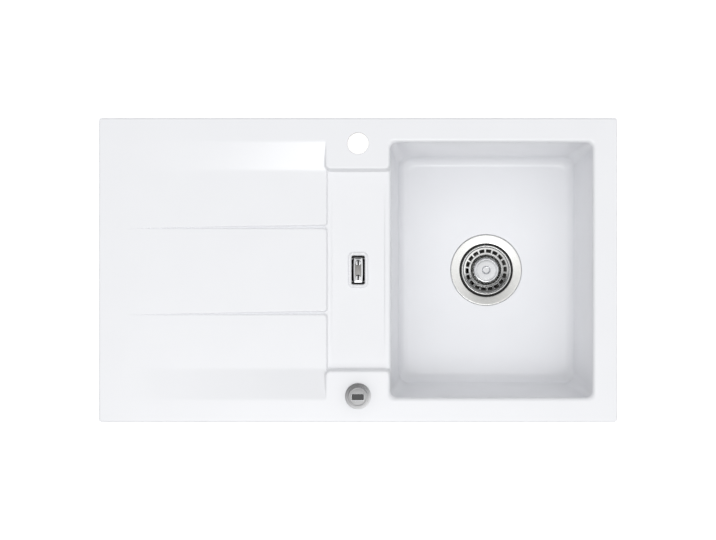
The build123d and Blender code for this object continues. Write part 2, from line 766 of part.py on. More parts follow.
with BuildPart() as lever_cover:
    cover_left = bracket_left + LUG_THICKNESS + LOOSE_FIT
    cover_right = shaft_x + BRACKET_RIGHT
    cover_x = (cover_left + cover_right) / 2
    cover_z = shaft_z + (BRACKET_TOP - BRACKET_BOTTOM) / 2
    cover_width = cover_right - cover_left
    cover_height = BRACKET_TOP + BRACKET_BOTTOM - 2 * COVER_EAR
    cover_face = Plane(
        origin=(cover_x, bracket_y - BRACKET_THICKNESS, cover_z), x_dir=(1, 0, 0), z_dir=(0, -1, 0)
    )
    with BuildSketch(cover_face):
        RectangleRounded(cover_width, cover_height, COVER_WALL)
    extrude(amount=COVER_DEPTH)
    fillet(lever_cover.faces().sort_by(Axis.Y)[0].edges(), COVER_EDGE_RADIUS)
    with BuildSketch(cover_face):
        with Locations((screw_x - cover_x, 0)):
            RectangleRounded(2 * COVER_EAR, cover_height + 2 * COVER_EAR, COVER_WALL)
    extrude(amount=COVER_WALL)
    with BuildSketch(cover_face):
        RectangleRounded(cover_width - 2 * COVER_WALL, cover_height - 2 * COVER_WALL, COVER_WALL / 2)
    extrude(amount=COVER_DEPTH - COVER_WALL, mode=Mode.SUBTRACT)
    with BuildSketch(Plane.XZ.offset(-bracket_y)):
        with Locations((screw_x, screw_low_z), (screw_x, screw_high_z)):
            Circle(COVER_SCREW_RADIUS + SLIDING_FIT)
    extrude(amount=BRACKET_THICKNESS + COVER_WALL, mode=Mode.SUBTRACT)
    # Way in for the cable's inner wire
    with BuildSketch(Plane.YZ.offset(cover_left)):
        with Locations((cable_y, cable_end_z)):
            Circle(CABLE_RADIUS)
    extrude(amount=COVER_WALL, mode=Mode.SUBTRACT)

with BuildPart() as cover_screws:
    with BuildSketch(Plane.XZ.offset(-bracket_y)):
        with Locations((screw_x, screw_low_z), (screw_x, screw_high_z)):
            Circle(COVER_SCREW_RADIUS)
    extrude(amount=BRACKET_THICKNESS + COVER_WALL)
    with BuildSketch(Plane.XZ.offset(-bracket_y + BRACKET_THICKNESS + COVER_WALL)):
        with Locations((screw_x, screw_low_z), (screw_x, screw_high_z)):
            Circle(COVER_SCREW_HEAD)
    extrude(amount=COVER_SCREW_HEAD_HEIGHT)

with BuildPart() as basket_shell:
    rim_z = flange_z + BASKET_RIM_RISE
    band_z = flange_z - BASKET_SHOULDER_DROP
    band_foot_z = band_z - BASKET_BAND_DROP
    stem_hole = STEM_RADIUS + FIXED_FIT
    add(
        turned(
            bowl_x,
            0,
            (BASKET_RIM_RADIUS, rim_z),
            (BASKET_RIM_RADIUS - BASKET_SHEET, rim_z),
            (BASKET_SHOULDER_RADIUS, band_z + BASKET_SHEET),
            (BASKET_BAND_TOP_RADIUS, band_z),
            (BASKET_BAND_FOOT_RADIUS, band_foot_z),
            (BASKET_FOOT_RADIUS, basket_floor_z),
            (stem_hole, basket_floor_z),
            (stem_hole, basket_floor_z - BASKET_SHEET),
            (BASKET_FOOT_RADIUS + BASKET_SHEET, basket_floor_z - BASKET_SHEET),
            (BASKET_BAND_FOOT_RADIUS + BASKET_SHEET, band_foot_z - BASKET_SHEET / 2),
            (BASKET_BAND_TOP_RADIUS + BASKET_SHEET, band_z - BASKET_SHEET),
            (BASKET_RIM_RADIUS, band_z),
        )
    )
    with BuildSketch(waste_plane.offset(band_foot_z - OVERCUT)):
        Circle(BASKET_BAND_TOP_RADIUS - BASKET_SHEET / 2)
        Circle(BASKET_BAND_FOOT_RADIUS + BASKET_SHEET, mode=Mode.SUBTRACT)
        with PolarLocations(BASKET_BAND_TOP_RADIUS / 2, BASKET_WINDOWS):
            Rectangle(BASKET_BAND_TOP_RADIUS, BASKET_BAR, mode=Mode.SUBTRACT)
    extrude(amount=BASKET_BAND_DROP + OVERCUT, mode=Mode.SUBTRACT)
    with BuildSketch(waste_plane.offset(basket_floor_z - BASKET_SHEET)):
        with PolarLocations(BASKET_FLOOR_HOLE_CIRCLE, BASKET_FLOOR_HOLES):
            Circle(BASKET_FLOOR_HOLE_RADIUS)
    extrude(amount=BASKET_SHEET, mode=Mode.SUBTRACT)

with BuildPart() as basket_seal:
    seal_middle = (CUP_RADIUS + SHOULDER_RADIUS, flange_z - SHOULDER_RADIUS)
    seal_sweep = SHOULDER_RADIUS + SEAL_GAP
    seal_end = math.degrees(math.acos((SEAL_OUTER_RADIUS - seal_middle[0]) / seal_sweep))
    seal_bore = BASKET_RIM_RADIUS + FIXED_FIT
    with BuildSketch(section_plane(bowl_x, 0)):
        with BuildLine():
            lip = CenterArc(seal_middle, seal_sweep, 180, seal_end - 180)
            Polyline(
                lip @ 1,
                (SEAL_OUTER_RADIUS, (lip @ 1).Y + SEAL_EDGE),
                ((SEAL_OUTER_RADIUS + seal_bore) / 2, flange_z + SEAL_RISE),
                (seal_bore, flange_z + SEAL_RISE),
                (seal_bore, flange_z - SHOULDER_RADIUS),
                lip @ 0,
            )
        make_face()
    revolve(axis=upright(bowl_x, 0))

with BuildPart() as basket_knob:
    cap_top_z = flange_z + CAP_RISE
    cap_under_z = cap_top_z - CAP_HEIGHT
    add(
        turned(
            bowl_x,
            0,
            (0, cap_under_z + STEM_SOCKET),
            (stem_hole, cap_under_z + STEM_SOCKET),
            (stem_hole, cap_under_z),
            (CAP_RADIUS, cap_under_z),
            (CAP_RADIUS, cap_top_z),
            (0, cap_top_z),
        )
    )
    fillet(basket_knob.faces().sort_by(Axis.Z)[-1].edges(), CAP_EDGE_RADIUS)
    add(
        ring(
            bowl_x,
            0,
            CAP_RING_RADIUS - CAP_RING_WIDTH / 2,
            CAP_RING_RADIUS + CAP_RING_WIDTH / 2,
            cap_top_z - CAP_RING_DEPTH,
            cap_top_z,
        ),
        mode=Mode.SUBTRACT,
    )
    add(
        turned(
            bowl_x,
            0,
            (0, cap_top_z - CAP_DIMPLE_DEPTH),
            (CAP_DIMPLE_RADIUS - CAP_DIMPLE_DEPTH, cap_top_z - CAP_DIMPLE_DEPTH),
            (CAP_DIMPLE_RADIUS, cap_top_z),
            (0, cap_top_z),
        ),
        mode=Mode.SUBTRACT,
    )

with BuildPart() as basket_stem:
    collar_z = basket_floor_z - BASKET_SHEET
    add(
        turned(
            bowl_x,
            0,
            (0, collar_z - STEM_COLLAR_HEIGHT),
            (STEM_COLLAR, collar_z - STEM_COLLAR_HEIGHT),
            (STEM_COLLAR, collar_z),
            (STEM_RADIUS, collar_z),
            (STEM_RADIUS, cap_under_z + STEM_SOCKET - FIXED_FIT),
            (0, cap_under_z + STEM_SOCKET - FIXED_FIT),
        )
    )

plate_screws = [(0, -PLATE_SCREW_PITCH / 2), (0, PLATE_SCREW_PITCH / 2)]
screw_head_height = PLATE_SCREW_HEAD - PLATE_SCREW_RADIUS

with BuildPart() as overflow_plate:
    half_width = PLATE_WIDTH / 2
    half_length = PLATE_LENGTH / 2
    half_end = half_width - PLATE_BULGE
    with BuildSketch(Plane.XY.offset(plate_under_z)):
        with BuildLine():
            ThreePointArc((half_end, -half_length), (half_width, 0), (half_end, half_length))
            Line((half_end, half_length), (-half_end, half_length))
            ThreePointArc((-half_end, half_length), (-half_width, 0), (-half_end, -half_length))
            Line((-half_end, -half_length), (half_end, -half_length))
        make_face()
    extrude(amount=PLATE_THICKNESS)
    with BuildSketch(Plane.XY.offset(ledge_z)):
        foot_y = half_length - PLATE_FOOT / 2
        with Locations((0, -foot_y), (0, foot_y)):
            Rectangle(PLATE_FOOT_WIDTH, PLATE_FOOT)
    extrude(amount=plate_under_z - ledge_z)
    for x, y in plate_screws:
        add(
            turned(
                x,
                y,
                (0, plate_top_z),
                (PLATE_SCREW_HEAD + FIXED_FIT, plate_top_z),
                (PLATE_SCREW_RADIUS + FIXED_FIT, plate_top_z - screw_head_height),
                (PLATE_SCREW_RADIUS + FIXED_FIT, plate_under_z),
                (0, plate_under_z),
            ),
            mode=Mode.SUBTRACT,
        )

with BuildPart() as overflow_screws:
    for x, y in plate_screws:
        add(
            turned(
                x,
                y,
                (0, plate_top_z),
                (PLATE_SCREW_HEAD, plate_top_z),
                (PLATE_SCREW_RADIUS, plate_top_z - screw_head_height),
                (PLATE_SCREW_RADIUS, plate_top_z - PLATE_SCREW_LENGTH),
                (0, plate_top_z - PLATE_SCREW_LENGTH),
            )
        )
    with BuildSketch(Plane.XY.offset(plate_top_z - PLATE_SCREW_SLOT_DEPTH)):
        with Locations(*plate_screws):
            Rectangle(PLATE_SCREW_SLOT, 2 * PLATE_SCREW_HEAD)
    extrude(amount=PLATE_SCREW_SLOT_DEPTH, mode=Mode.SUBTRACT)

with BuildPart() as overflow_seal:
    with BuildSketch(Plane.XY.offset(head_top_z)):
        RectangleRounded(OVERFLOW_WIDTH + 2 * HEAD_LIP, lower_slot_length + 2 * HEAD_LIP, HEAD_LIP)
        RectangleRounded(OVERFLOW_WIDTH, lower_slot_length, OVERFLOW_CORNER, mode=Mode.SUBTRACT)
    extrude(amount=SOFT_SEAL)

with BuildPart() as overflow_head:
    with BuildSketch(Plane.XY.offset(head_top_z - HEAD_FLANGE)):
        RectangleRounded(OVERFLOW_WIDTH + 2 * HEAD_LIP, lower_slot_length + 2 * HEAD_LIP, HEAD_LIP)
    extrude(amount=HEAD_FLANGE)
    with BuildSketch(Plane.XY.offset(hopper_z)):
        RectangleRounded(
            OVERFLOW_WIDTH + 2 * HEAD_WALL, lower_slot_length + 2 * HEAD_WALL, OVERFLOW_CORNER + HEAD_WALL
        )
        Circle(spigot_radius)
    extrude(amount=HEAD_HOPPER)
    with BuildSketch(Plane.XY.offset(head_mouth_z)):
        Circle(spigot_radius)
    extrude(amount=SPIGOT_LENGTH)
    with BuildSketch(Plane.XY.offset(hopper_z + HEAD_WALL)):
        RectangleRounded(OVERFLOW_WIDTH, lower_slot_length, OVERFLOW_CORNER)
    extrude(amount=HEAD_HOPPER + HEAD_FLANGE - HEAD_WALL, mode=Mode.SUBTRACT)
    with BuildSketch(Plane.XY.offset(head_mouth_z)):
        Circle(pipe_bore)
    extrude(amount=SPIGOT_LENGTH + HEAD_WALL, mode=Mode.SUBTRACT)
    with BuildSketch(Plane.XY.offset(head_mouth_z)):
        Circle(PIPE_RADIUS + SLIDING_FIT)
    extrude(amount=PIPE_INSERTION, mode=Mode.SUBTRACT)
    # Rib that carries the two screw posts
    with BuildSketch(Plane.XY.offset(hopper_z + HEAD_HOPPER / 2)):
        Rectangle(HEAD_RIB, lower_slot_length + HEAD_WALL)
    extrude(amount=HEAD_HOPPER / 2 + HEAD_FLANGE)
    with BuildSketch(Plane.XY.offset(hopper_z + HEAD_HOPPER / 2)):
        with Locations(*plate_screws):
            Circle(POST_RADIUS)
    extrude(amount=plate_under_z - POST_GAP - hopper_z - HEAD_HOPPER / 2)
    with BuildSketch(Plane.XY.offset(plate_top_z - PLATE_SCREW_LENGTH - FIXED_FIT)):
        with Locations(*plate_screws):
            Circle(PLATE_SCREW_RADIUS + FIXED_FIT)
    extrude(amount=PLATE_SCREW_LENGTH, mode=Mode.SUBTRACT)

elbow_top_z = inlet_z + ELBOW_RADIUS + SPIGOT_LENGTH
elbow_end_x = ELBOW_RADIUS + SPIGOT_LENGTH
inlet_mouth_x = bowl_x - INLET_REACH

with BuildPart() as overflow_pipe:
    pipe_low_z = elbow_top_z - PIPE_INSERTION
    pipe_high_z = head_mouth_z + PIPE_INSERTION
    add(ring(0, 0, pipe_bore, PIPE_RADIUS, pipe_low_z, pipe_high_z))

with BuildPart() as overflow_elbow:
    with BuildLine() as bend:
        FilletPolyline((0, 0, elbow_top_z), (0, 0, inlet_z), (elbow_end_x, 0, inlet_z), radius=ELBOW_RADIUS)
    with BuildSketch(Plane(origin=bend.line @ 0, z_dir=bend.line % 0)):
        Circle(spigot_radius)
        Circle(pipe_bore, mode=Mode.SUBTRACT)
    sweep(path=bend.line)
    for mouth in (
        Plane(origin=(0, 0, elbow_top_z), z_dir=(0, 0, -1)),
        Plane(origin=(elbow_end_x, 0, inlet_z), z_dir=(-1, 0, 0)),
    ):
        with BuildSketch(mouth):
            Circle(PIPE_RADIUS + SLIDING_FIT)
        extrude(amount=PIPE_INSERTION, mode=Mode.SUBTRACT)

with BuildPart() as cross_pipe:
    cross_left = elbow_end_x - PIPE_INSERTION
    cross_right = inlet_mouth_x + PIPE_INSERTION
    with BuildSketch(Plane.YZ.offset(cross_left)):
        with Locations((0, inlet_z)):
            Circle(PIPE_RADIUS)
            Circle(pipe_bore, mode=Mode.SUBTRACT)
    extrude(amount=cross_right - cross_left)

# Each union's plane lies on its spigot's mouth and faces along the pipe
union_planes = [
    Plane(origin=(0, 0, head_mouth_z), z_dir=(0, 0, -1)),
    Plane(origin=(0, 0, elbow_top_z), z_dir=(0, 0, 1)),
    Plane(origin=(elbow_end_x, 0, inlet_z), z_dir=(1, 0, 0)),
    Plane(origin=(inlet_mouth_x, 0, inlet_z), z_dir=(-1, 0, 0)),
]

with BuildPart() as pipe_nuts:
    nut_radius = spigot_radius + NUT_WALL
    for mouth in union_planes:
        with BuildSketch(mouth.offset(-NUT_GRIP)):
            RegularPolygon(nut_radius, NUT_SIDES)
            Circle(spigot_radius + SLIDING_FIT, mode=Mode.SUBTRACT)
        extrude(amount=NUT_GRIP + UNION_SEAL)
        with BuildSketch(mouth.offset(UNION_SEAL)):
            RegularPolygon(nut_radius, NUT_SIDES)
            Circle(PIPE_RADIUS + SLIDING_FIT, mode=Mode.SUBTRACT)
        extrude(amount=NUT_LIP)

with BuildPart() as pipe_seals:
    for mouth in union_planes:
        with BuildSketch(mouth):
            Circle(spigot_radius)
            Circle(PIPE_RADIUS + FIXED_FIT, mode=Mode.SUBTRACT)
        extrude(amount=UNION_SEAL)

with BuildPart() as control_housing:
    spindle_bore = SPINDLE_RADIUS + SLIDING_FIT
    cup_inner = HOUSING_CUP_RADIUS - HOUSING_CUP_WALL
    tube_top_z = deck_z + CONTROL_NUT
    add(
        turned(
            0,
            control_y,
            (spindle_bore, tube_top_z),
            (HOUSING_RADIUS, tube_top_z),
            (HOUSING_RADIUS, housing_shoulder_z),
            (HOUSING_CUP_RADIUS, housing_shoulder_z),
            (HOUSING_CUP_RADIUS, housing_foot_z),
            (cup_inner, housing_foot_z),
            (cup_inner, housing_shoulder_z - HOUSING_CUP_WALL),
            (spindle_bore, housing_shoulder_z - HOUSING_CUP_WALL),
        )
    )
    # Gland that takes the end of the cable sheath
    gland_plane = Plane(origin=(gland_x, cable_start_y, cam_z), x_dir=(0, 1, 0), z_dir=(1, 0, 0))
    with BuildSketch(gland_plane):
        Circle(FERRULE_RADIUS + GLAND_WALL)
    extrude(until=Until.NEXT)
    with BuildSketch(gland_plane):
        Circle(FERRULE_RADIUS + FIXED_FIT)
    extrude(amount=HOUSING_CUP_RADIUS, mode=Mode.SUBTRACT)

with BuildPart() as control_washer:
    washer_bore = HOUSING_RADIUS + SLIDING_FIT
    add(ring(0, control_y, washer_bore, CONTROL_WASHER_RADIUS, housing_shoulder_z, under_deck_z))

with BuildPart() as control_nut:
    with BuildSketch(Plane(origin=(0, control_y, deck_z))):
        RegularPolygon(CONTROL_NUT_RADIUS, CONTROL_NUT_SIDES)
        Circle(HOUSING_RADIUS + FIXED_FIT, mode=Mode.SUBTRACT)
    extrude(amount=CONTROL_NUT)

with BuildPart() as control_base:
    base_bore = SPINDLE_RADIUS + LOOSE_FIT
    base_inner = CONTROL_BASE_RADIUS - CONTROL_BASE_WALL
    add(
        turned(
            0,
            control_y,
            (base_inner, deck_z),
            (CONTROL_BASE_RADIUS, deck_z),
            (CONTROL_BASE_RADIUS, base_top_z),
            (base_bore, base_top_z),
            (base_bore, base_top_z - CONTROL_BASE_WALL),
            (base_inner, base_top_z - CONTROL_BASE_WALL),
        )
    )
    top_circles = control_base.edges().filter_by(GeomType.CIRCLE).group_by(Axis.Z)[-1]
    base_rim = top_circles.sort_by(SortBy.RADIUS)[-1]
    fillet(base_rim, CONTROL_BASE_EDGE)

with BuildPart() as control_knob:
    bore = SPINDLE_RADIUS + FIXED_FIT
    add(
        turned(
            0,
            control_y,
            (0, knob_foot_z + KNOB_GRIP),
            (bore, knob_foot_z + KNOB_GRIP),
            (bore, knob_foot_z),
            (KNOB_RADIUS, knob_foot_z),
            (KNOB_RADIUS, knob_top_z),
            (0, knob_top_z),
        )
    )
    fillet(control_knob.faces().sort_by(Axis.Z)[-1].edges(), KNOB_EDGE_RADIUS)
    add(
        ring(
            0,
            control_y,
            KNOB_RING_RADIUS - KNOB_RING_WIDTH / 2,
            KNOB_RING_RADIUS + KNOB_RING_WIDTH / 2,
            knob_top_z - KNOB_RING_DEPTH,
            knob_top_z,
        ),
        mode=Mode.SUBTRACT,
    )
    with BuildSketch(Plane(origin=(0, control_y, knob_top_z))):
        RectangleRounded(PLAQUE_LENGTH, PLAQUE_WIDTH, PLAQUE_CORNER)
    extrude(amount=-PLAQUE_THICKNESS, mode=Mode.SUBTRACT)

with BuildPart() as knob_plaque:
    with BuildSketch(Plane(origin=(0, control_y, knob_top_z - PLAQUE_THICKNESS))):
        RectangleRounded(
            PLAQUE_LENGTH - 2 * FIXED_FIT, PLAQUE_WIDTH - 2 * FIXED_FIT, PLAQUE_CORNER - FIXED_FIT
        )
    extrude(amount=PLAQUE_THICKNESS)

with BuildPart() as control_spindle:
    with BuildSketch(Plane(origin=(0, control_y, cam_z - CAM_HEIGHT / 2))):
        Circle(SPINDLE_RADIUS)
    extrude(amount=knob_foot_z + KNOB_GRIP - cam_z + CAM_HEIGHT / 2)

with BuildPart() as cable_cam:
    cam_rim_radius = cam_radius + CAM_FLANGE
    cam_half = CAM_HEIGHT / 2
    groove_half = cam_half - CAM_RIM
    cam_bore = SPINDLE_RADIUS + FIXED_FIT
    add(
        turned(
            0,
            control_y,
            (cam_bore, cam_z - cam_half),
            (cam_rim_radius, cam_z - cam_half),
            (cam_rim_radius, cam_z - groove_half),
            (cam_radius, cam_z - groove_half),
            (cam_radius, cam_z + groove_half),
            (cam_rim_radius, cam_z + groove_half),
            (cam_rim_radius, cam_z + cam_half),
            (cam_bore, cam_z + cam_half),
        )
    )

# Route of the cable sheath: out of the control to the left, down in a loop, then right to the crank
cable_start_x = gland_x + LUG_THICKNESS - CABLE_SETBACK
cable_end_x = bracket_left + LUG_THICKNESS - CABLE_SETBACK
cable_route = [
    Vector(cable_start_x, cable_start_y, cam_z),
    Vector(CABLE_OUT_X, cable_start_y, cam_z),
    *(Vector(*point) for point in CABLE_LOOP),
    Vector(CABLE_IN_X, cable_y, cable_end_z),
    Vector(cable_end_x, cable_y, cable_end_z),
]
cable_runs = [b - a for a, b in zip(cable_route, cable_route[1:])]
cable_radii = [
    CABLE_BEND_SHARE * min(a.length, b.length) / math.tan(math.radians(a.get_angle(b)) / 2)
    for a, b in zip(cable_runs, cable_runs[1:])
]

with BuildPart() as cable_sheath:
    with BuildLine() as route:
        FilletPolyline(*cable_route, radius=cable_radii)
    with BuildSketch(Plane(origin=route.line @ 0, z_dir=route.line % 0)):
        Circle(CABLE_RADIUS)
    sweep(path=route.line)
length_by_volume = cable_sheath.part.volume / (math.pi * CABLE_RADIUS**2)
print("cable radii", [round(radius) for radius in cable_radii])
print("cable length", round(route.wire().length, 2), "by volume", round(length_by_volume, 2))

with BuildPart() as cable_ferrules:
    for x, y, z in ((gland_x, cable_start_y, cam_z), (bracket_left, cable_y, cable_end_z)):
        with BuildSketch(Plane.YZ.offset(x - FERRULE_COLLAR_LENGTH)):
            with Locations((y, z)):
                Circle(FERRULE_RADIUS + FERRULE_COLLAR)
                Circle(CABLE_RADIUS + FIXED_FIT, mode=Mode.SUBTRACT)
        extrude(amount=FERRULE_COLLAR_LENGTH)
        with BuildSketch(Plane.YZ.offset(x)):
            with Locations((y, z)):
                Circle(FERRULE_RADIUS)
                Circle(CABLE_RADIUS + FIXED_FIT, mode=Mode.SUBTRACT)
        extrude(amount=LUG_THICKNESS)

pieces = {
    "sink_body": sink_body,
    "waste_flange": waste_flange,
    "flange_seal": flange_seal,
    "waste_gasket": waste_gasket,
    "waste_body": waste_body,
    "clamp_screw": clamp_screw,
    "lift_pin": lift_pin,
    "lift_finger": lift_finger,
    "lever_shaft": lever_shaft,
    "crank_arm": crank_arm,
    "shaft_seal": shaft_seal,
    "lever_cover": lever_cover,
    "cover_screws": cover_screws,
    "basket_shell": basket_shell,
    "basket_seal": basket_seal,
    "basket_knob": basket_knob,
    "basket_stem": basket_stem,
    "overflow_plate": overflow_plate,
    "overflow_screws": overflow_screws,
    "overflow_seal": overflow_seal,
    "overflow_head": overflow_head,
    "overflow_pipe": overflow_pipe,
    "overflow_elbow": overflow_elbow,
    "cross_pipe": cross_pipe,
    "pipe_nuts": pipe_nuts,
    "pipe_seals": pipe_seals,
    "control_base": control_base,
    "control_knob": control_knob,
    "knob_plaque": knob_plaque,
    "control_spindle": control_spindle,
    "control_housing": control_housing,
    "control_washer": control_washer,
    "control_nut": control_nut,
    "cable_cam": cable_cam,
    "cable_sheath": cable_sheath,
    "cable_ferrules": cable_ferrules,
}
os.makedirs("parts", exist_ok=True)
for name, piece in pieces.items():
    piece.part.label = name
    export_step(piece.part, f"parts/{name}.step")
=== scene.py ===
"""Looks of an inset ceramic kitchen sink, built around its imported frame.

Sizes are millimetres in the frame's own axes: +X from drainer to bowl, +Y towards the tap hole, +Z up.
"""
import json
import logging
import math
from dataclasses import dataclass
from enum import Enum
from typing import Any, Sequence

import bmesh
import bpy
import numpy as np
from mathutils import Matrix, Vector

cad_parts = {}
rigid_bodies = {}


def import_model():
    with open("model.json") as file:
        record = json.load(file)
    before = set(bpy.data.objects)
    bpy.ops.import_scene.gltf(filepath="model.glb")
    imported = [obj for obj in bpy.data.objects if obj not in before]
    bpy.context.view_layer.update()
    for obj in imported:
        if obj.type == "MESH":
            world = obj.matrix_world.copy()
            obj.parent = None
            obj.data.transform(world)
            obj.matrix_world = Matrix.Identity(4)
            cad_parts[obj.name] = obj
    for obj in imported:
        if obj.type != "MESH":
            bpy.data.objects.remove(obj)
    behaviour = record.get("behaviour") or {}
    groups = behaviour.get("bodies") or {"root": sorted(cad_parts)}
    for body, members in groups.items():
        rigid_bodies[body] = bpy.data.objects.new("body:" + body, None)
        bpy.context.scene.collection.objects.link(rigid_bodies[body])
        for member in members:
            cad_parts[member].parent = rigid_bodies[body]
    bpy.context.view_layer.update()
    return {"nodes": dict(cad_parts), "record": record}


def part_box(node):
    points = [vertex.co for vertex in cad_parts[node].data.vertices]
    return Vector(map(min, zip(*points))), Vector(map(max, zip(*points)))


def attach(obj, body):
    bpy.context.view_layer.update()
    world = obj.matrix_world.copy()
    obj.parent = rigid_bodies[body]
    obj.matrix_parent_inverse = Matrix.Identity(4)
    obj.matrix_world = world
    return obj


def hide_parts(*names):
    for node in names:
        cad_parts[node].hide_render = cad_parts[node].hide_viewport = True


LOG = logging.getLogger("sink")
MM = 0.001
WHITE = (1.0, 1.0, 1.0, 1.0)
MOTTLE_DETAIL = 3.0
GRAIN_DETAIL = 2.0
CORNER_STEPS = 6
BULGE_SHARES = np.linspace(0.9, -0.9, 13)


class Slot(Enum):
    """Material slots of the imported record."""

    CERAMIC = "ceramic_glaze"
    STEEL = "stainless_steel"
    CHROME = "chrome_plate"
    RUBBER = "black_rubber"
    WHITE_PLASTIC = "white_plastic"
    BLACK_PLASTIC = "black_plastic"
    BRASS = "brass"
    ENAMEL = "plaque_enamel"


class Body(Enum):
    """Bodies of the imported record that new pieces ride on."""

    SINK = "sink"
    CONTROL = "control"
    BASKET = "basket"


def linear(colour: str) -> tuple[float, float, float, float]:
    """Turns an sRGB hex colour into linear light.

    Args:
        colour: Six hex digits with a leading hash.

    Returns:
        Linear red, green, blue and an alpha of one.
    """
    parts = (int(colour[i : i + 2], 16) / 255 for i in (1, 3, 5))
    red, green, blue = (c / 12.92 if c <= 0.04045 else ((c + 0.055) / 1.055) ** 2.4 for c in parts)
    return red, green, blue, 1.0


def add_node(
    tree: bpy.types.NodeTree, kind: str, inputs: dict[str | int, Any] | None = None, **settings: Any
) -> bpy.types.Node:
    """Adds a node, sets its properties and fills or links its inputs.

    Args:
        tree: The node tree that gets the node.
        kind: The node's type, without the ShaderNode prefix.
        inputs: Values or output sockets by the name or number of the input.
        **settings: Properties of the node.

    Returns:
        The new node.
    """
    node = tree.nodes.new("ShaderNode" + kind)
    for name, value in settings.items():
        setattr(node, name, value)
    for key, value in (inputs or {}).items():
        if isinstance(value, bpy.types.NodeSocket):
            tree.links.new(value, node.inputs[key])
        else:
            node.inputs[key].default_value = value
    return node


@dataclass(frozen=True)
class Finish:
    """A surface with a mottled colour, uneven gloss and a fine relief.

    Attributes:
        name: Plain name of the material.
        colour: Main colour.
        second: Colour of the mottling.
        mottle_mm: Size of the mottling.
        roughness: Mean roughness.
        uneven: How far the roughness strays from its mean.
        grain_mm: Size of the relief's grain.
        relief_mm: Height of the relief.
        metallic: One for a bare metal.
        ior: Index of refraction of a surface that isn't metal.
        turned_mm: Pitch of concentric turning marks about an upright axis, or zero.
        axis: Plan position of that axis.
    """

    name: str
    colour: str
    second: str
    mottle_mm: float
    roughness: float
    uneven: float
    grain_mm: float
    relief_mm: float
    metallic: float = 0.0
    ior: float = 1.5
    turned_mm: float = 0.0
    axis: tuple[float, float] = (0.0, 0.0)

    def build(self) -> bpy.types.Material:
        """Makes the material.

        Returns:
            The node-based material.
        """
        material = bpy.data.materials.new(self.name)
        material.use_nodes = True
        tree = material.node_tree
        shader = tree.nodes["Principled BSDF"]
        shader.inputs["Metallic"].default_value = self.metallic
        if not self.metallic:
            shader.inputs["IOR"].default_value = self.ior
        place = add_node(tree, "TexCoord").outputs["Object"]
        mottle = add_node(
            tree, "TexNoise", {"Vector": place, "Scale": 1 / (self.mottle_mm * MM), "Detail": MOTTLE_DETAIL}
        )
        mix = add_node(
            tree,
            "MixRGB",
            {"Fac": mottle.outputs["Fac"], "Color1": linear(self.colour), "Color2": linear(self.second)},
        )
        tree.links.new(self.dress_colour(tree, mix.outputs["Color"]), shader.inputs["Base Color"])
        gloss = add_node(
            tree,
            "MapRange",
            {
                "Value": mottle.outputs["Fac"],
                "To Min": self.roughness - self.uneven,
                "To Max": self.roughness + self.uneven,
            },
        )
        tree.links.new(self.dress_roughness(tree, gloss.outputs["Result"]), shader.inputs["Roughness"])
        grain = add_node(
            tree, "TexNoise", {"Vector": place, "Scale": 1 / (self.grain_mm * MM), "Detail": GRAIN_DETAIL}
        )
        relief = add_node(
            tree, "Bump", {"Height": grain.outputs["Fac"], "Strength": 1.0, "Distance": self.relief_mm * MM}
        )
        if self.turned_mm:
            middle = (self.axis[0] * MM, self.axis[1] * MM, 0.0)
            centred = add_node(tree, "VectorMath", {0: place, 1: middle}, operation="SUBTRACT")
            rings = add_node(
                tree,
                "TexWave",
                {"Vector": centred.outputs["Vector"], "Scale": 1 / (self.turned_mm * MM * math.tau)},
                wave_type="RINGS",
                rings_direction="Z",
            )
            relief = add_node(
                tree,
                "Bump",
                {
                    "Height": rings.outputs["Fac"],
                    "Strength": 1.0,
                    "Distance": self.relief_mm * MM,
                    "Normal": relief.outputs["Normal"],
                },
            )
        tree.links.new(relief.outputs["Normal"], shader.inputs["Normal"])
        return material

    def dress_colour(self, tree: bpy.types.NodeTree, colour: bpy.types.NodeSocket) -> bpy.types.NodeSocket:
        """Leaves the mottled colour as it is."""
        return colour

    def dress_roughness(self, tree: bpy.types.NodeTree, gloss: bpy.types.NodeSocket) -> bpy.types.NodeSocket:
        """Leaves the uneven roughness as it is."""
        return gloss


@dataclass(frozen=True)
class FiredGlaze(Finish):
    """White glaze over fireclay that stays bare on the underside, where the mesh carries a raw mark.

    Attributes:
        raw_colour: Colour of the bare fireclay.
        raw_roughness: Its roughness.
    """

    raw_colour: str = "#DAD4C8"
    raw_roughness: float = 0.75

    def dress_colour(self, tree: bpy.types.NodeTree, colour: bpy.types.NodeSocket) -> bpy.types.NodeSocket:
        """Mixes in the bare fireclay of the underside.

        Args:
            tree: The material's node tree.
            colour: The glaze's colour.

        Returns:
            The mixed colour.
        """
        raw = add_node(tree, "Attribute", attribute_name="raw").outputs["Fac"]
        mix = add_node(tree, "MixRGB", {"Fac": raw, "Color1": colour, "Color2": linear(self.raw_colour)})
        return mix.outputs["Color"]

    def dress_roughness(self, tree: bpy.types.NodeTree, gloss: bpy.types.NodeSocket) -> bpy.types.NodeSocket:
        """Mixes in the bare fireclay's roughness.

        Args:
            tree: The material's node tree.
            gloss: The glaze's roughness.

        Returns:
            The mixed roughness.
        """
        raw = add_node(tree, "Attribute", attribute_name="raw").outputs["Fac"]
        mix = add_node(tree, "MapRange", {"Value": raw, "To Min": gloss, "To Max": self.raw_roughness})
        return mix.outputs["Result"]


# Slip-cast fireclay under a white glaze: an even, wet gloss with the faint swell of poured glass
GLAZE = FiredGlaze("glazed_fireclay", "#E9EAED", "#ECEDF0", 70.0, 0.22, 0.02, 9.0, 0.02, ior=1.6)
# Pressed and polished stainless steel: bright, a little soft, with short polishing haze
STEEL = Finish("polished_stainless_steel", "#E9E9E7", "#E0E0DE", 6.0, 0.2, 0.04, 0.8, 0.004, metallic=1.0)
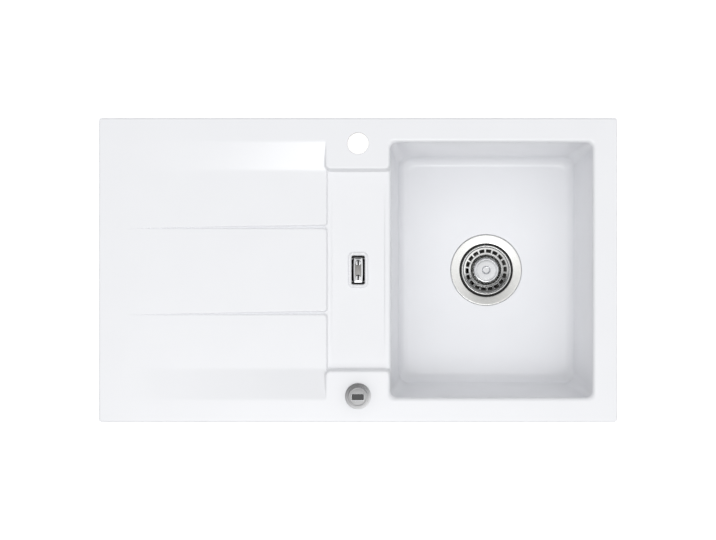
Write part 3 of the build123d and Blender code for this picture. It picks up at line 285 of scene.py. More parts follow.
# Steel inside the cup, a dull dark grey: painted shade of the deep recess below the flange
CUP_SHADE = Finish("stainless_steel_cup_painted_shade", "#6B6A68", "#5C5B59", 5.0, 0.42, 0.06, 0.6, 0.008, metallic=1.0)
# Bright chrome plate: near mirror with a trace of haze
CHROME = Finish("chrome_plate", "#DFE0E2", "#D8D9DB", 5.0, 0.1, 0.02, 1.5, 0.002, metallic=1.0)
# Bead-blasted nickel: an even grey without a mirror
BLASTED = Finish("bead_blasted_nickel", "#E0E0E1", "#D6D6D7", 4.0, 0.66, 0.04, 0.5, 0.01, metallic=1.0)
# Lathe-turned satin nickel: grey, with fine rings, which are drawn coarser than a real feed so that they show
SATIN = Finish(
    "turned_satin_nickel", "#C0C0C1", "#B6B6B7", 4.0, 0.5, 0.05, 0.6, 0.02, metallic=1.0, turned_mm=1.6,
    axis=(0.0, -209.0),
)
# Brushed field of the overflow plate: dull grey between polished borders
BRUSHED = Finish("brushed_steel_field", "#A5A4A2", "#8E8D8B", 2.5, 0.38, 0.06, 0.5, 0.01, metallic=1.0)
# Painted shade in the screw slots: near black with a dull sheen, filling them almost to the top
SCREW_SLOT_SHADE = Finish("screw_slot_painted_shade", "#101010", "#181818", 1.0, 0.55, 0.08, 0.4, 0.01, ior=1.5)
# Moulded nitrile rubber: matt black with a slight bloom
RUBBER = Finish("nitrile_rubber", "#161616", "#1F1F1F", 3.0, 0.55, 0.08, 0.5, 0.02, ior=1.52)
# Moulded white polypropylene: waxy off-white with a faint flow mottle
WHITE_PLASTIC = Finish("white_polypropylene", "#ECEBE6", "#E6E5DF", 12.0, 0.38, 0.05, 0.7, 0.01, ior=1.49)
# Moulded black acetal: fine spark-eroded grain
BLACK_PLASTIC = Finish("black_acetal", "#1B1B1C", "#232325", 4.0, 0.42, 0.06, 0.5, 0.015, ior=1.48)
# Extruded black vinyl over steel coil: smooth with a low sheen
BLACK_VINYL = Finish("black_vinyl_sheath", "#141415", "#1D1D1E", 5.0, 0.36, 0.05, 1.0, 0.008, ior=1.53)
# Turned brass: warm yellow, lightly tarnished
BRASS = Finish("turned_brass", "#C8A763", "#A98A4C", 3.0, 0.28, 0.07, 0.5, 0.006, metallic=1.0)
# Dark stove enamel: deep gloss
ENAMEL = Finish("dark_enamel", "#202022", "#28282B", 3.0, 0.25, 0.04, 0.8, 0.004, ior=1.54)


def ramp(value: np.ndarray, soft: float) -> np.ndarray:
    """The positive part of a value, with its corner rounded over a width of soft on either side."""
    return np.where(value <= -soft, 0.0, np.where(value >= soft, value, (value + soft) ** 2 / (4 * soft)))


def step(value: np.ndarray) -> np.ndarray:
    """A smooth step from zero to one as the value goes from zero to one."""
    held = np.clip(value, 0, 1)
    return held * held * (3 - 2 * held)


def rounded_box(
    x: np.ndarray, y: np.ndarray, low: Sequence[float], high: Sequence[float], corner: Any
) -> np.ndarray:
    """Signed plan distance to a rectangle with rounded corners, negative inside.

    Args:
        x: Plan positions.
        y: Plan positions.
        low: The rectangle's lowest corner.
        high: The rectangle's highest corner.
        corner: Corner radius.

    Returns:
        The distances.
    """
    across = np.abs(x - (low[0] + high[0]) / 2) - (high[0] - low[0]) / 2 + corner
    along = np.abs(y - (low[1] + high[1]) / 2) - (high[1] - low[1]) / 2 + corner
    outside = np.hypot(np.maximum(across, 0), np.maximum(along, 0))
    return outside + np.minimum(np.maximum(across, along), 0) - corner


def wall(
    depth: np.ndarray, top: Any, low: Any, edge: float, foot: float, draft: float
) -> np.ndarray:
    """Height of a drafted wall between two levels, with a rounded edge and a rounded foot.

    Args:
        depth: Plan distance from the wall's sharp upper edge, positive towards the low side.
        top: Upper level.
        low: Lower level.
        edge: Radius of the upper edge.
        foot: Radius of the foot.
        draft: Lean of the wall from upright, in degrees.

    Returns:
        The heights.
    """
    height = top - low
    lean = math.radians(draft)
    reach = math.tan((math.pi / 2 - lean) / 2)
    edge_radius = np.minimum(edge, height / 2)
    foot_radius = np.minimum(foot, height / 2)
    edge_reach = edge_radius * reach
    foot_reach = foot_radius * reach
    run = height * math.tan(lean)
    level = top - depth / math.tan(lean)
    edge_arc = top - edge_radius + np.sqrt(np.maximum(edge_radius**2 - (depth + edge_reach) ** 2, 0))
    foot_arc = low + foot_radius - np.sqrt(np.maximum(foot_radius**2 - (depth - run - foot_reach) ** 2, 0))
    level = np.where(depth <= edge_reach * math.sin(lean), edge_arc, level)
    level = np.where(depth <= -edge_reach, top, level)
    level = np.where(depth >= run - foot_reach * math.sin(lean), foot_arc, level)
    return np.where(depth >= run + foot_reach, low, level)


def grid_lines(stations: Sequence[float], steps: Sequence[float]) -> np.ndarray:
    """Line positions that pass through each station, with the spacing given for each stretch.

    Args:
        stations: Ascending positions that get a line each.
        steps: Greatest spacing between each station and the next.

    Returns:
        The positions.
    """
    runs = [
        np.linspace(a, b, max(1, math.ceil((b - a) / step)) + 1)[:-1]
        for a, b, step in zip(stations, stations[1:], steps)
    ]
    return np.concatenate([*runs, [stations[-1]]])


def graded_lines(
    ends: tuple[float, float], wide: float, zones: Sequence[tuple[float, float, float]]
) -> np.ndarray:
    """Line positions from end to end that are closer together in zones, whose limits get a line each.

    Args:
        ends: First and last position.
        wide: Greatest spacing outside the zones.
        zones: Start, stop and greatest spacing of each zone; where zones overlap, the least spacing holds.

    Returns:
        The positions.
    """
    limits = {limit for zone in zones for limit in zone[:2] if ends[0] < limit < ends[1]}
    stations = sorted({*ends, *limits})
    steps = [
        min((spacing for start, stop, spacing in zones if start < (a + b) / 2 < stop), default=wide)
        for a, b in zip(stations, stations[1:])
    ]
    return grid_lines(stations, steps)


def round_corners(points: np.ndarray, half: Sequence[float], corner: float) -> np.ndarray:
    """Moves points of a rectangle's outline onto the same outline with rounded corners.

    Args:
        points: Plan points on a rectangle about the origin.
        half: The rectangle's half sizes.
        corner: Corner radius.

    Returns:
        The moved points.
    """
    middle = np.array(half) - corner
    beyond = np.abs(points) - middle
    at_corner = (beyond > 0).all(axis=1)
    moved = points.copy()
    direction = beyond[at_corner] / np.linalg.norm(beyond[at_corner], axis=1, keepdims=True)
    moved[at_corner] = np.sign(points[at_corner]) * (middle + direction * corner)
    return moved


class Shell:
    """Gathers the points and faces of one mesh.

    Attributes:
        RIB_MEAN: Mean hollow between ribs, as a share of its depth.
        RIB_SWING: How far it swings about its mean before it is held between zero and the depth.
    """

    RIB_MEAN = 0.5
    RIB_SWING = 0.9

    def __init__(self) -> None:
        """Starts empty."""
        self.points: list[np.ndarray] = []
        self.faces: list[tuple[int, ...]] = []
        self.count = 0

    def add(self, points: np.ndarray) -> np.ndarray:
        """Adds points.

        Args:
            points: Rows of x, y, z.

        Returns:
            Their numbers.
        """
        self.points.append(np.asarray(points, float))
        numbers = np.arange(self.count, self.count + len(points))
        self.count += len(points)
        return numbers

    def at(self, numbers: np.ndarray) -> np.ndarray:
        """The points with the given numbers."""
        return np.concatenate(self.points)[numbers]

    def strip(self, first: np.ndarray, second: np.ndarray) -> None:
        """Joins two closed loops of as many points with four-sided faces."""
        ahead, beyond = np.roll(first, -1), np.roll(second, -1)
        self.faces += [tuple(map(int, quad)) for quad in zip(first, ahead, beyond, second)]

    def run(self, loop: np.ndarray, rings: Sequence[np.ndarray]) -> np.ndarray:
        """Joins a closed loop to ring after ring.

        Args:
            loop: Numbers of the loop's points.
            rings: Points of each ring, as many as the loop's.

        Returns:
            Numbers of the last ring's points.
        """
        for points in rings:
            following = self.add(points)
            self.strip(loop, following)
            loop = following
        return loop

    def zip_loops(self, first: np.ndarray, second: np.ndarray, centre: Sequence[float]) -> None:
        """Joins two closed loops of unlike counts with triangles, in order of their angle about a centre.

        Args:
            first: Numbers of the first loop's points.
            second: Numbers of the second loop's points.
            centre: Plan point that both loops go round.
        """
        turns = []
        for loop in (first, second):
            plan = self.at(loop)[:, :2] - centre
            angle = np.arctan2(plan[:, 1], plan[:, 0])
            order = np.argsort(angle)
            turns.append((loop[order], angle[order]))
        (a, a_turn), (b, b_turn) = turns
        i = j = 0
        while i < len(a) or j < len(b):
            a_next = a_turn[i + 1] if i + 1 < len(a) else a_turn[0] + math.tau
            b_next = b_turn[j + 1] if j + 1 < len(b) else b_turn[0] + math.tau
            here, there = int(a[i % len(a)]), int(b[j % len(b)])
            if j >= len(b) or (i < len(a) and a_next <= b_next):
                self.faces.append((here, int(a[(i + 1) % len(a)]), there))
                i += 1
            else:
                self.faces.append((here, int(b[(j + 1) % len(b)]), there))
                j += 1

    def grid(
        self,
        lines: tuple[np.ndarray, np.ndarray],
        crossings: Sequence[np.ndarray],
        gaps: Sequence[Sequence[float]],
    ) -> np.ndarray:
        """Adds a height field over crossing lines, with rectangular gaps.

        Args:
            lines: Line positions along x and along y.
            crossings: x, y and z of the crossings, x first.
            gaps: Rectangles on the lines, each as low x, low y, high x, high y.

        Returns:
            The crossings' point numbers, x first.
        """
        xs, ys = lines
        numbers = self.add(np.stack(crossings, axis=-1).reshape(-1, 3)).reshape(crossings[0].shape)
        middle_x = (xs[1:] + xs[:-1])[:, None] / 2
        middle_y = (ys[1:] + ys[:-1])[None, :] / 2
        keep = np.ones((len(xs) - 1, len(ys) - 1), bool)
        for x0, y0, x1, y1 in gaps:
            keep &= ~((middle_x > x0) & (middle_x < x1) & (middle_y > y0) & (middle_y < y1))
        i, j = np.nonzero(keep)
        quads = np.stack([numbers[i, j], numbers[i + 1, j], numbers[i + 1, j + 1], numbers[i, j + 1]], axis=1)
        self.faces += [tuple(map(int, quad)) for quad in quads]
        return numbers

    def turn(
        self,
        centre: Sequence[float],
        axis: Sequence[float],
        outline: Sequence[tuple[float, float]],
        closed: bool = True,
        windows: Sequence[tuple[int, int, int, int]] = (),
        ribs: tuple[int, float] = (0, 0.0),
        steps: int = 144,
    ) -> None:
        """Adds an outline turned about an axis.

        Args:
            centre: A point of the axis.
            axis: The axis.
            outline: Radius and height along the axis of each point.
            closed: Whether the last point joins the first.
            windows: Openings as first row, last row, solid steps and open steps.
            ribs: Count and depth of ribs along the axis, on the outline's rows of greatest radius.
            steps: Steps of the turn.
        """
        along = np.array(axis, float)
        across = np.array((0.0, 1.0, 0.0) if abs(along[1]) < 0.5 else (1.0, 0.0, 0.0))
        side = np.cross(along, across)
        angle = np.arange(steps) * math.tau / steps
        spokes = np.outer(np.cos(angle), across) + np.outer(np.sin(angle), side)
        widest = max(radius for radius, _ in outline)
        hollow = ribs[1] * np.clip(self.RIB_MEAN + self.RIB_SWING * np.cos(ribs[0] * angle), 0, 1)
        rows = []
        for radius, height in outline:
            reach = radius - hollow * (radius >= widest)
            rows.append(self.add(np.array(centre) + along * height + spokes * reach[:, None]))
        pairs = list(zip(rows, [*rows[1:], rows[0]]))
        for k, (first, second) in enumerate(pairs if closed else pairs[:-1]):
            before = len(self.faces)
            self.strip(first, second)
            for low, high, solid, opening in windows:
                if low <= k < high:
                    quads = self.faces[before:]
                    self.faces[before:] = [q for n, q in enumerate(quads) if n % (solid + opening) < solid]

    def stack(self, rings: Sequence[np.ndarray]) -> None:
        """Joins plan rings of as many points one above the other and closes the first and the last.

        Args:
            rings: Points of each ring.
        """
        first = self.add(rings[0])
        last = self.run(first, rings[1:])
        self.faces += [tuple(map(int, first)), tuple(map(int, last))]

    def piece(self, name: str) -> bpy.types.Object:
        """Makes the smooth-shaded object.

        Args:
            name: The object's name.

        Returns:
            The object, in metres.
        """
        points = np.concatenate(self.points) * MM
        used = np.unique(np.concatenate([np.array(face) for face in self.faces]))
        renumber = np.zeros(len(points), int)
        renumber[used] = np.arange(len(used))
        faces = [tuple(renumber[list(face)].tolist()) for face in self.faces]
        mesh = bpy.data.meshes.new(name)
        mesh.from_pydata(points[used].tolist(), [], faces)
        work = bmesh.new()
        work.from_mesh(mesh)
        bmesh.ops.remove_doubles(work, verts=work.verts, dist=MM * MM)
        bmesh.ops.recalc_face_normals(work, faces=work.faces)
        work.to_mesh(mesh)
        work.free()
        mesh.shade_smooth()
        made = bpy.data.objects.new(name, mesh)
        bpy.context.scene.collection.objects.link(made)
        return made


def loop_round(
    lines: tuple[np.ndarray, np.ndarray], numbers: np.ndarray, box: Sequence[float]
) -> np.ndarray:
    """Point numbers round a rectangle of a grid, without repeats.

    Args:
        lines: Line positions along x and along y.
        numbers: The grid's point numbers, x first.
        box: Low x, low y, high x and high y of the rectangle.

    Returns:
        The loop.
    """
    (low_x, high_x), (low_y, high_y) = (
        (int(np.argmin(np.abs(line - box[k]))), int(np.argmin(np.abs(line - box[k + 2]))))
        for k, line in enumerate(lines)
    )
    block = numbers[low_x : high_x + 1, low_y : high_y + 1]
    return np.concatenate([block[:-1, 0], block[-1, :-1], block[:0:-1, -1], block[0, :0:-1]])


def arc(start: float, stop: float, steps: int) -> np.ndarray:
    """Angles in radians from start to stop, in degrees, in equal steps."""
    return np.radians(np.linspace(start, stop, steps + 1))


def rounded_edge(radius: float, level: float, edge: float) -> list[tuple[float, float]]:
    """Rounding from a level surface down into a hole, or on the outside down a skirt.

    Args:
        radius: The hole's radius, or zero where insets are wanted.
        level: The surface's height.
        edge: Radius of the rounding.

    Returns:
        Radius and height of each point.
    """
    turn = arc(0, 90, CORNER_STEPS)
    return [(radius + edge * (1 - math.sin(a)), level - edge * (1 - math.cos(a))) for a in turn]


@dataclass
class CeramicBody:
    """The one-piece fired body: rim, drainer, bridge, bowl and holes."""

    deck: float = 12.0
    edge: float = 3.6
    corner: float = 5.0
    inset: float = 6.0
    seat: float = 19.0
    seat_edge: float = 0.5
    relief: float = 1.5
    thickness: float = 12.0
    boss_corner: float = 5.0
    boss_edge: float = 2.0
    boss_draft: float = 5.0
    least_corner: float = 0.01
    rim_margin: float = 0.5
    rim_foot: tuple[tuple[float, float], ...] = ((0.0, 0.8), (0.2, 0.2), (0.8, 0.0))
    raw_lean: float = -0.5
    raw_margin: float = 2.0
    bowl_low: tuple[float, float] = (53.0, -212.0)
    bowl_high: tuple[float, float] = (389.5, 212.0)
    bowl_floor: float = -178.0
    bowl_under: float = -192.0
    bowl_draft: float = 5.0
    bowl_edge: float = 6.0
    bowl_margin: float = 3.0
    bowl_foot: float = 17.0
    bowl_seam: float = 3.0
    mouth_corner: float = 11.0
    floor_corner: float = 19.0
    inset_limit: float = 80.0
    inset_halvings: int = 40
    bridge_left: float = -53.0
    bridge_half: float = 168.0
    bridge_level: float = 0.0
    bridge_under: float = -13.8
    bridge_blend: float = 3.0
    island_corner: float = 7.5
    island_back_corner: float = 1.0
    step_edge: float = 3.2
    step_foot: float = 2.6
    step_draft: float = 22.0
    dish_half_width: float = 44.0
    dish_half_length: float = 150.0
    dish_depth: float = 1.8
    dish_edge: float = 1.5
    drainer_left: float = -385.0
    drainer_start: float = 8.0
    drainer_half: float = 214.0
    facet_half: float = 164.5
    drainer_fall: float = 8.0
    crease: float = 3.0
    grooves: tuple[float, float] = (68.2, -74.8)
    groove_depth: float = 5.0
    groove_width: float = 7.2
    groove_growth: float = 0.75
    groove_margin: float = 2.5
    groove_least: float = 0.08
    groove_draw: float = 50.0
    panel_corner: float = 4.5
    panel_edge: float = 1.5
    panel_foot: float = 1.4
    panel_draft: float = 36.0
    tap: tuple[float, float] = (0.0, 210.0)
    tap_radius: float = 17.5
    control: tuple[float, float] = (0.0, -209.0)
    control_radius: float = 12.5
    hole_edge: float = 1.5
    hole_chamfer: float = 0.5
    hole_patch: float = 27.0
    overflow_half: tuple[float, float] = (11.0, 24.0)
    overflow_patch: tuple[float, float] = (20.0, 34.0)
    overflow_edge: float = 3.2
    overflow_corner: float = 3.0
    overflow_ledge: float = -8.0
    overflow_slot_half: float = 19.0
    lip_height: float = 2.4
    lip_flat: float = 3.4
    lip_reach: float = 6.6
    lip_margins: tuple[float, float] = (1.0, 0.3)
    lip_rings: int = 9
    waste_patch: float = 126.0
    under_patch: float = 70.0
    fall_radius: float = 122.0
    fall: float = 2.0
    fall_share: float = 0.95
    fall_rings: int = 9
    recess_radius: float = 62.4
    recess_edge: float = 1.2
    recess: float = -183.0
    waste_radius: float = 45.0
    waste_chamfer: float = 0.8
    groove_step: float = 0.5
    fine_step: float = 0.68
    even_step: float = 1.35
    open_step: float = 3.6
    wide_step: float = 9.0

    def __post_init__(self) -> None:
        """Takes the outer size from the frame and works out what follows from the sizes."""
        low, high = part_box("sink_body")
        self.half = ((high.x - low.x) / 2 / MM, (high.y - low.y) / 2 / MM)
        self.slope = math.tan(math.radians(self.bowl_draft))
        self.waste = ((self.bowl_low[0] + self.bowl_high[0]) / 2, 0.0)

    def bowl_depth(self, x: np.ndarray, y: np.ndarray, grow: float) -> np.ndarray:
        """How far inside the bowl's mouth a plan point lies, along outlines whose corners widen downwards.

        Args:
            x: Plan positions.
            y: Plan positions.
            grow: Wall thickness that is added to the corner radii and outlines.

        Returns:
            The inset of the outline that passes through each point.
        """
        low = np.full(x.shape, -self.inset_limit)
        high = np.full(x.shape, self.inset_limit)
        full = (self.deck - self.bowl_floor) * self.slope
        for _ in range(self.inset_halvings):
            middle = (low + high) / 2
            widening = (self.floor_corner - self.mouth_corner) * step((middle + grow) / full)
            corner = self.mouth_corner + grow + widening
            distance = rounded_box(
                x,
                y,
                (self.bowl_low[0] + middle, self.bowl_low[1] + middle),
                (self.bowl_high[0] - middle, self.bowl_high[1] - middle),
                corner,
            )
            inside = distance < 0
            low = np.where(inside, middle, low)
            high = np.where(inside, high, middle)
        return (low + high) / 2

    def drainer_share(self, x: np.ndarray) -> np.ndarray:
        """How far along the drainer's fall a point lies, from zero at its left end to one at the bridge."""
        return ramp(x - self.drainer_left, self.drainer_start) / (self.bridge_left - self.drainer_left)

    def groove_share(self, x: np.ndarray) -> np.ndarray:
        """How far a groove has grown at a plan point, from zero at its left end to one at the bridge."""
        return self.drainer_share(x) ** self.groove_growth

    def drainer_level(self, x: np.ndarray, y: np.ndarray) -> np.ndarray:
        """Height of the falling drainer with its two side facets.

        Args:
            x: Plan positions.
            y: Plan positions.

        Returns:
            The heights.
        """
        away = np.abs(y)
        side = ramp(self.drainer_half - away, self.crease) - ramp(self.facet_half - away, self.crease)
        fall = self.drainer_fall * self.drainer_share(x)
        return self.deck - fall * side / (self.drainer_half - self.facet_half)

    def beside_panels(self, x: np.ndarray, y: np.ndarray) -> np.ndarray:
        """Plan distance to the nearest of the drainer's three panels, which the widening grooves part.

        Args:
            x: Plan positions.
            y: Plan positions.

        Returns:
            The distances, negative on a panel.
        """
        opening = self.groove_width * self.groove_share(x)
        wide = 2 * self.half[1]
        back, front = self.grooves
        spans = ((back + opening, wide), (front + opening, back), (-wide, front))
        return np.minimum.reduce([
            rounded_box(x, y, (-2 * self.half[0], low), (self.bridge_left, high), self.panel_corner)
            for low, high in spans
        ])

    def along_grooves(self, x: np.ndarray, y: np.ndarray) -> np.ndarray:
        """Draws grid lines together where the grooves narrow, so that they follow the grooves' edges.

        Args:
            x: Crossings' positions along x.
            y: Crossings' positions along y, the same for each x.

        Returns:
            The drawn positions along y.
        """
        drawn = y.copy()
        margin = self.groove_margin
        near, far = self.groove_width + margin, self.groove_width + self.groove_draw
        ends = (-2 * self.half[1], 2 * self.half[1])
        for row, narrow in enumerate(np.clip(self.groove_share(x[:, 0]), self.groove_least, 1.0)):
            for start in self.grooves:
                stations = np.array([-far, -margin, 0.0, near, far]) + start
                places = np.array([-far, -margin * narrow, 0.0, near * narrow, far]) + start
                drawn[row] = np.interp(drawn[row], [ends[0], *stations, ends[1]], [ends[0], *places, ends[1]])
        return drawn

    def bridge_surface(self, x: np.ndarray, y: np.ndarray) -> np.ndarray:
        """Height of the bridge with its shallow dish and the raised lip of the overflow opening.

        Args:
            x: Plan positions.
            y: Plan positions.

        Returns:
            The heights.
        """
        sag = np.maximum(1 - (y / self.dish_half_length) ** 2, 0)
        beside_dish = np.abs(x) - self.dish_half_width
        level = self.bridge_level - self.dish_depth * sag * step(0.5 - beside_dish / (2 * self.dish_edge))
        low = [-half for half in self.overflow_half]
        beside = rounded_box(x, y, low, self.overflow_half, self.overflow_corner)
        return level + self.lip_height * step((self.lip_reach - beside) / (self.lip_reach - self.lip_flat))

    def top_level(self, x: np.ndarray, y: np.ndarray) -> np.ndarray:
        """Height of the glazed upper surface at plan points.

        Args:
            x: Plan positions.
            y: Plan positions.

        Returns:
            The heights.
        """
        drainer = self.drainer_level(x, y)
        groove = drainer - self.groove_depth * self.groove_share(x)
        onto_bridge = step(0.5 + (x - self.bridge_left) / (2 * self.bridge_blend))
        sunken = groove + (self.bridge_surface(x, y) - groove) * onto_bridge
        void = wall(
            self.beside_panels(x, y), drainer, sunken, self.panel_edge, self.panel_foot, self.panel_draft
        )
        far, inner, corner = 2 * self.half[0], self.bridge_half, self.island_corner
        away, left = np.abs(y), self.bridge_left
        island = np.minimum(
            rounded_box(x, away, (left, inner), (self.bowl_low[0], far), corner),
            rounded_box(x, away, (left, inner + corner), (far, far), self.island_back_corner),
        )
        island = np.where(x > self.waste[0], -far, island)
        level = wall(island, self.deck, void, self.step_edge, self.step_foot, self.step_draft)
        depth = self.bowl_depth(x, y, 0.0) - (self.deck - level) * self.slope
        return wall(depth, level, self.bowl_floor, self.bowl_edge, self.bowl_foot, self.bowl_draft)

    def under_level(self, x: np.ndarray, y: np.ndarray) -> np.ndarray:
        """Height of the raw underside at plan points.

        Args:
            x: Plan positions.
            y: Plan positions.

        Returns:
            The heights.
        """
        seat = rounded_box(x, y, (-self.half[0], -self.half[1]), self.half, self.corner)
        drop = wall(-seat - self.seat, 0.0, -self.relief, self.seat_edge, self.seat_edge, self.boss_draft)
        edge, corner, draft = self.boss_edge, self.boss_corner, self.boss_draft
        fall = self.drainer_fall * (x - self.drainer_left) / (self.bridge_left - self.drainer_left)
        side = self.drainer_half - self.thickness
        boss = rounded_box(x, y, (self.drainer_left, -side), (self.bridge_left, side), corner)
        drop = wall(boss, np.maximum(fall, 0.0), drop, edge, edge, draft)
        side = self.bridge_half + self.thickness
        left = self.bridge_left - self.thickness
        boss = rounded_box(x, y, (left, -side), (self.waste[0] - self.waste_patch, side), corner)
        drop = wall(boss, -self.bridge_under, drop, edge, edge, draft)
        foot = (self.deck - self.bowl_under) * self.slope - self.thickness
        depth = foot - self.bowl_depth(x, y, self.thickness)
        return -wall(
            depth, -self.bowl_under, drop, self.bowl_foot + self.thickness, self.bowl_seam, self.bowl_draft
        )

    def top_lines(self) -> tuple[np.ndarray, np.ndarray]:
        """Line positions of the upper surface, close together where it turns.

        Returns:
            Positions along x and along y.
        """
        end_x, end_y = (half - self.inset for half in self.half)
        patch, reach, (over_x, over_y) = self.hole_patch, self.waste_patch, self.overflow_patch
        left, right, back = self.bowl_low[0], self.bowl_high[0], self.bowl_high[1]
        lip = self.bowl_edge + self.bowl_margin
        foot = (self.deck - self.bowl_floor) * self.slope + self.bowl_foot
        bend = self.step_edge + self.step_foot
        dish = self.dish_half_width
        fine, even, loose = self.fine_step, self.even_step, self.open_step
        xs = graded_lines((-end_x, end_x), self.wide_step, [
            (-end_x, -end_x + self.inset, even),
            (end_x - self.inset, end_x, even),
            (self.drainer_left - self.drainer_start, self.drainer_left + self.drainer_start, loose),
            (self.bridge_left - bend, self.bridge_left + bend, fine),
            (-dish - 2 * self.dish_edge, -dish + 2 * self.dish_edge, even),
            (dish - 2 * self.dish_edge, dish + 2 * self.dish_edge, even),
            (-patch, patch, loose),
            (-over_x, over_x, loose),
            (left - lip, left + lip, fine),
            (left + lip, left + foot, even),
            (self.waste[0] - reach, self.waste[0] + reach, self.wide_step),
            (right - foot, right - lip, even),
            (right - lip, right + lip, fine),
        ])
        zones = [
            (end_y - self.inset, end_y, even),
            (back - lip, back + lip, fine),
            (back - foot, back - lip, even),
            (self.facet_half - self.crease, self.bridge_half + bend, fine),
        ]
        ys = graded_lines((-end_y, end_y), self.wide_step, [
            *zones,
            *((-high, -low, spacing) for low, high, spacing in zones),
            *((at - self.groove_margin, at + self.groove_width + self.groove_margin, self.groove_step)
              for at in self.grooves),
            *((at - patch, at + patch, loose) for at in (self.tap[1], self.control[1])),
            (-over_y, over_y, loose),
            (-reach, reach, self.wide_step),
        ])
        return xs, ys

    def under_lines(self) -> tuple[np.ndarray, np.ndarray]:
        """Line positions of the underside, close together where it turns.

        Returns:
            Positions along x and along y.
        """
        end_x, end_y = (half - self.inset for half in self.half)
        patch, reach, (over_x, over_y) = self.hole_patch, self.under_patch, self.overflow_patch
        grown = self.thickness
        left, right, back = self.bowl_low[0] - grown, self.bowl_high[0] + grown, self.bowl_high[1] + grown
        bend = 2 * self.boss_edge
        foot = (self.deck - self.bowl_under) * self.slope + self.bowl_foot + grown
        even, loose = self.even_step, self.open_step
        seat_x, seat_y = (half - self.seat for half in self.half)
        xs = graded_lines((-end_x, end_x), self.wide_step, [
            (-end_x, -end_x + self.inset, even),
            (end_x - self.inset, end_x, even),
            *((at - bend, at + bend, even) for at in (
                -seat_x, seat_x, self.drainer_left, self.bridge_left - grown, left, right
            )),
            (-patch, patch, loose),
            (-over_x, over_x, loose),
            (left + bend, left + foot, loose),
            (self.waste[0] - reach, self.waste[0] + reach, loose),
            (right - foot, right - bend, loose),
        ])
        bends = (seat_y, self.drainer_half - grown, self.bridge_half + grown, back)
        ys = graded_lines((-end_y, end_y), self.wide_step, [
            (-end_y, -end_y + self.inset, even),
            (end_y - self.inset, end_y, even),
            *((side * at - bend, side * at + bend, even) for at in bends for side in (-1, 1)),
            *((at - patch, at + patch, loose) for at in (self.tap[1], self.control[1])),
            (back - foot, back - bend, loose),
            (bend - back, foot - back, loose),
            (-over_y, over_y, loose),
            (-reach, reach, loose),
        ])
        return xs, ys

    def gaps(self, waste_patch: float) -> list[tuple[float, float, float, float]]:
        """Rectangles of a height field that the holes' own surfaces fill.

        Args:
            waste_patch: Half size of the gap round the waste hole.

        Returns:
            Low x, low y, high x and high y round the tap, control, overflow and waste holes.
        """
        squares = ((self.tap, self.hole_patch), (self.control, self.hole_patch), (self.waste, waste_patch))
        tap, control, waste = ((x - size, y - size, x + size, y + size) for (x, y), size in squares)
        across, along = self.overflow_patch
        return [tap, control, (-across, -along, across, along), waste]

    def ring(self, points: np.ndarray, centre: Sequence[float], radius: float, height: float) -> np.ndarray:
        """Points on a level circle, on the same bearings as the given points.

        Args:
            points: The given points.
            centre: The circle's plan centre.
            radius: Its radius.
            height: Its level.

        Returns:
            The circle's points.
        """
        bearing = points[:, :2] - centre
        bearing /= np.linalg.norm(bearing, axis=1, keepdims=True)
        return np.column_stack([np.array(centre) + bearing * radius, np.full(len(points), height)])

    def overflow_ring(
        self, points: np.ndarray, grow: float, drop: float = 0.0, level: float | None = None
    ) -> np.ndarray:
        """Points on the overflow opening's outline, grown sideways.

        Args:
            points: Points round the opening's patch.
            grow: How far the outline is grown.
            drop: How far the points lie below the glazed surface.
            level: One level for all points, in place of the drop.

        Returns:
            The outline's points.
        """
        half = np.array(self.overflow_half) + grow
        plan = round_corners(points[:, :2] * half / self.overflow_patch, half, self.overflow_corner + grow)
        height = self.top_level(plan[:, 0], plan[:, 1]) - drop if level is None else np.full(len(plan), level)
        return np.column_stack([plan, height])

    def skirt_ring(self, points: np.ndarray, inset: float, height: float) -> np.ndarray:
        """Points on the sink's outline, drawn in by an inset, at one level.

        Args:
            points: Points round the upper surface.
            inset: How far the outline is drawn in.
            height: Its level.

        Returns:
            The outline's points.
        """
        half = np.array(self.half) - inset
        plan = points[:, :2] * half / (np.array(self.half) - self.inset)
        plan = round_corners(plan, half, max(self.corner - inset, self.least_corner))
        return np.column_stack([plan, np.full(len(plan), height)])

    def turned_hole(
        self,
        shell: Shell,
        loops: tuple[np.ndarray, np.ndarray],
        centre: Sequence[float],
        upper: Sequence[tuple[float, float]],
        lower: Sequence[tuple[float, float]],
    ) -> None:
        """Fills the gaps above and below a round hole and joins them through it.

        Args:
            shell: The mesh.
            loops: Grid points round the gap in the upper surface and in the underside.
            centre: The hole's plan centre.
            upper: Radius and height of the rings from the upper gap inwards and down the bore.
            lower: Radius and height of the rings from the lower gap inwards.
        """
        ends = [
            shell.run(loop, [self.ring(shell.at(loop), centre, radius, height) for radius, height in outline])
            for loop, outline in zip(loops, (upper, lower))
        ]
        shell.zip_loops(ends[0], ends[1], centre)

    def deck_hole(
        self, shell: Shell, loops: tuple[np.ndarray, np.ndarray], centre: Sequence[float], radius: float
    ) -> None:
        """Makes a round hole through the deck, with a rounded upper edge.

        Args:
            shell: The mesh.
            loops: Grid points round the gap in the upper surface and in the underside.
            centre: The hole's plan centre.
            radius: Its radius.
        """
        edge, chamfer, foot = self.hole_edge, self.hole_chamfer, self.relief
        rounding = rounded_edge(radius, self.deck, edge)
        upper = [(radius + 2 * edge, self.deck), *rounding, (radius, foot + chamfer)]
        lower = [(radius + 4 * chamfer, foot), (radius + chamfer, foot), (radius, foot + chamfer)]
        self.turned_hole(shell, loops, centre, upper, lower)

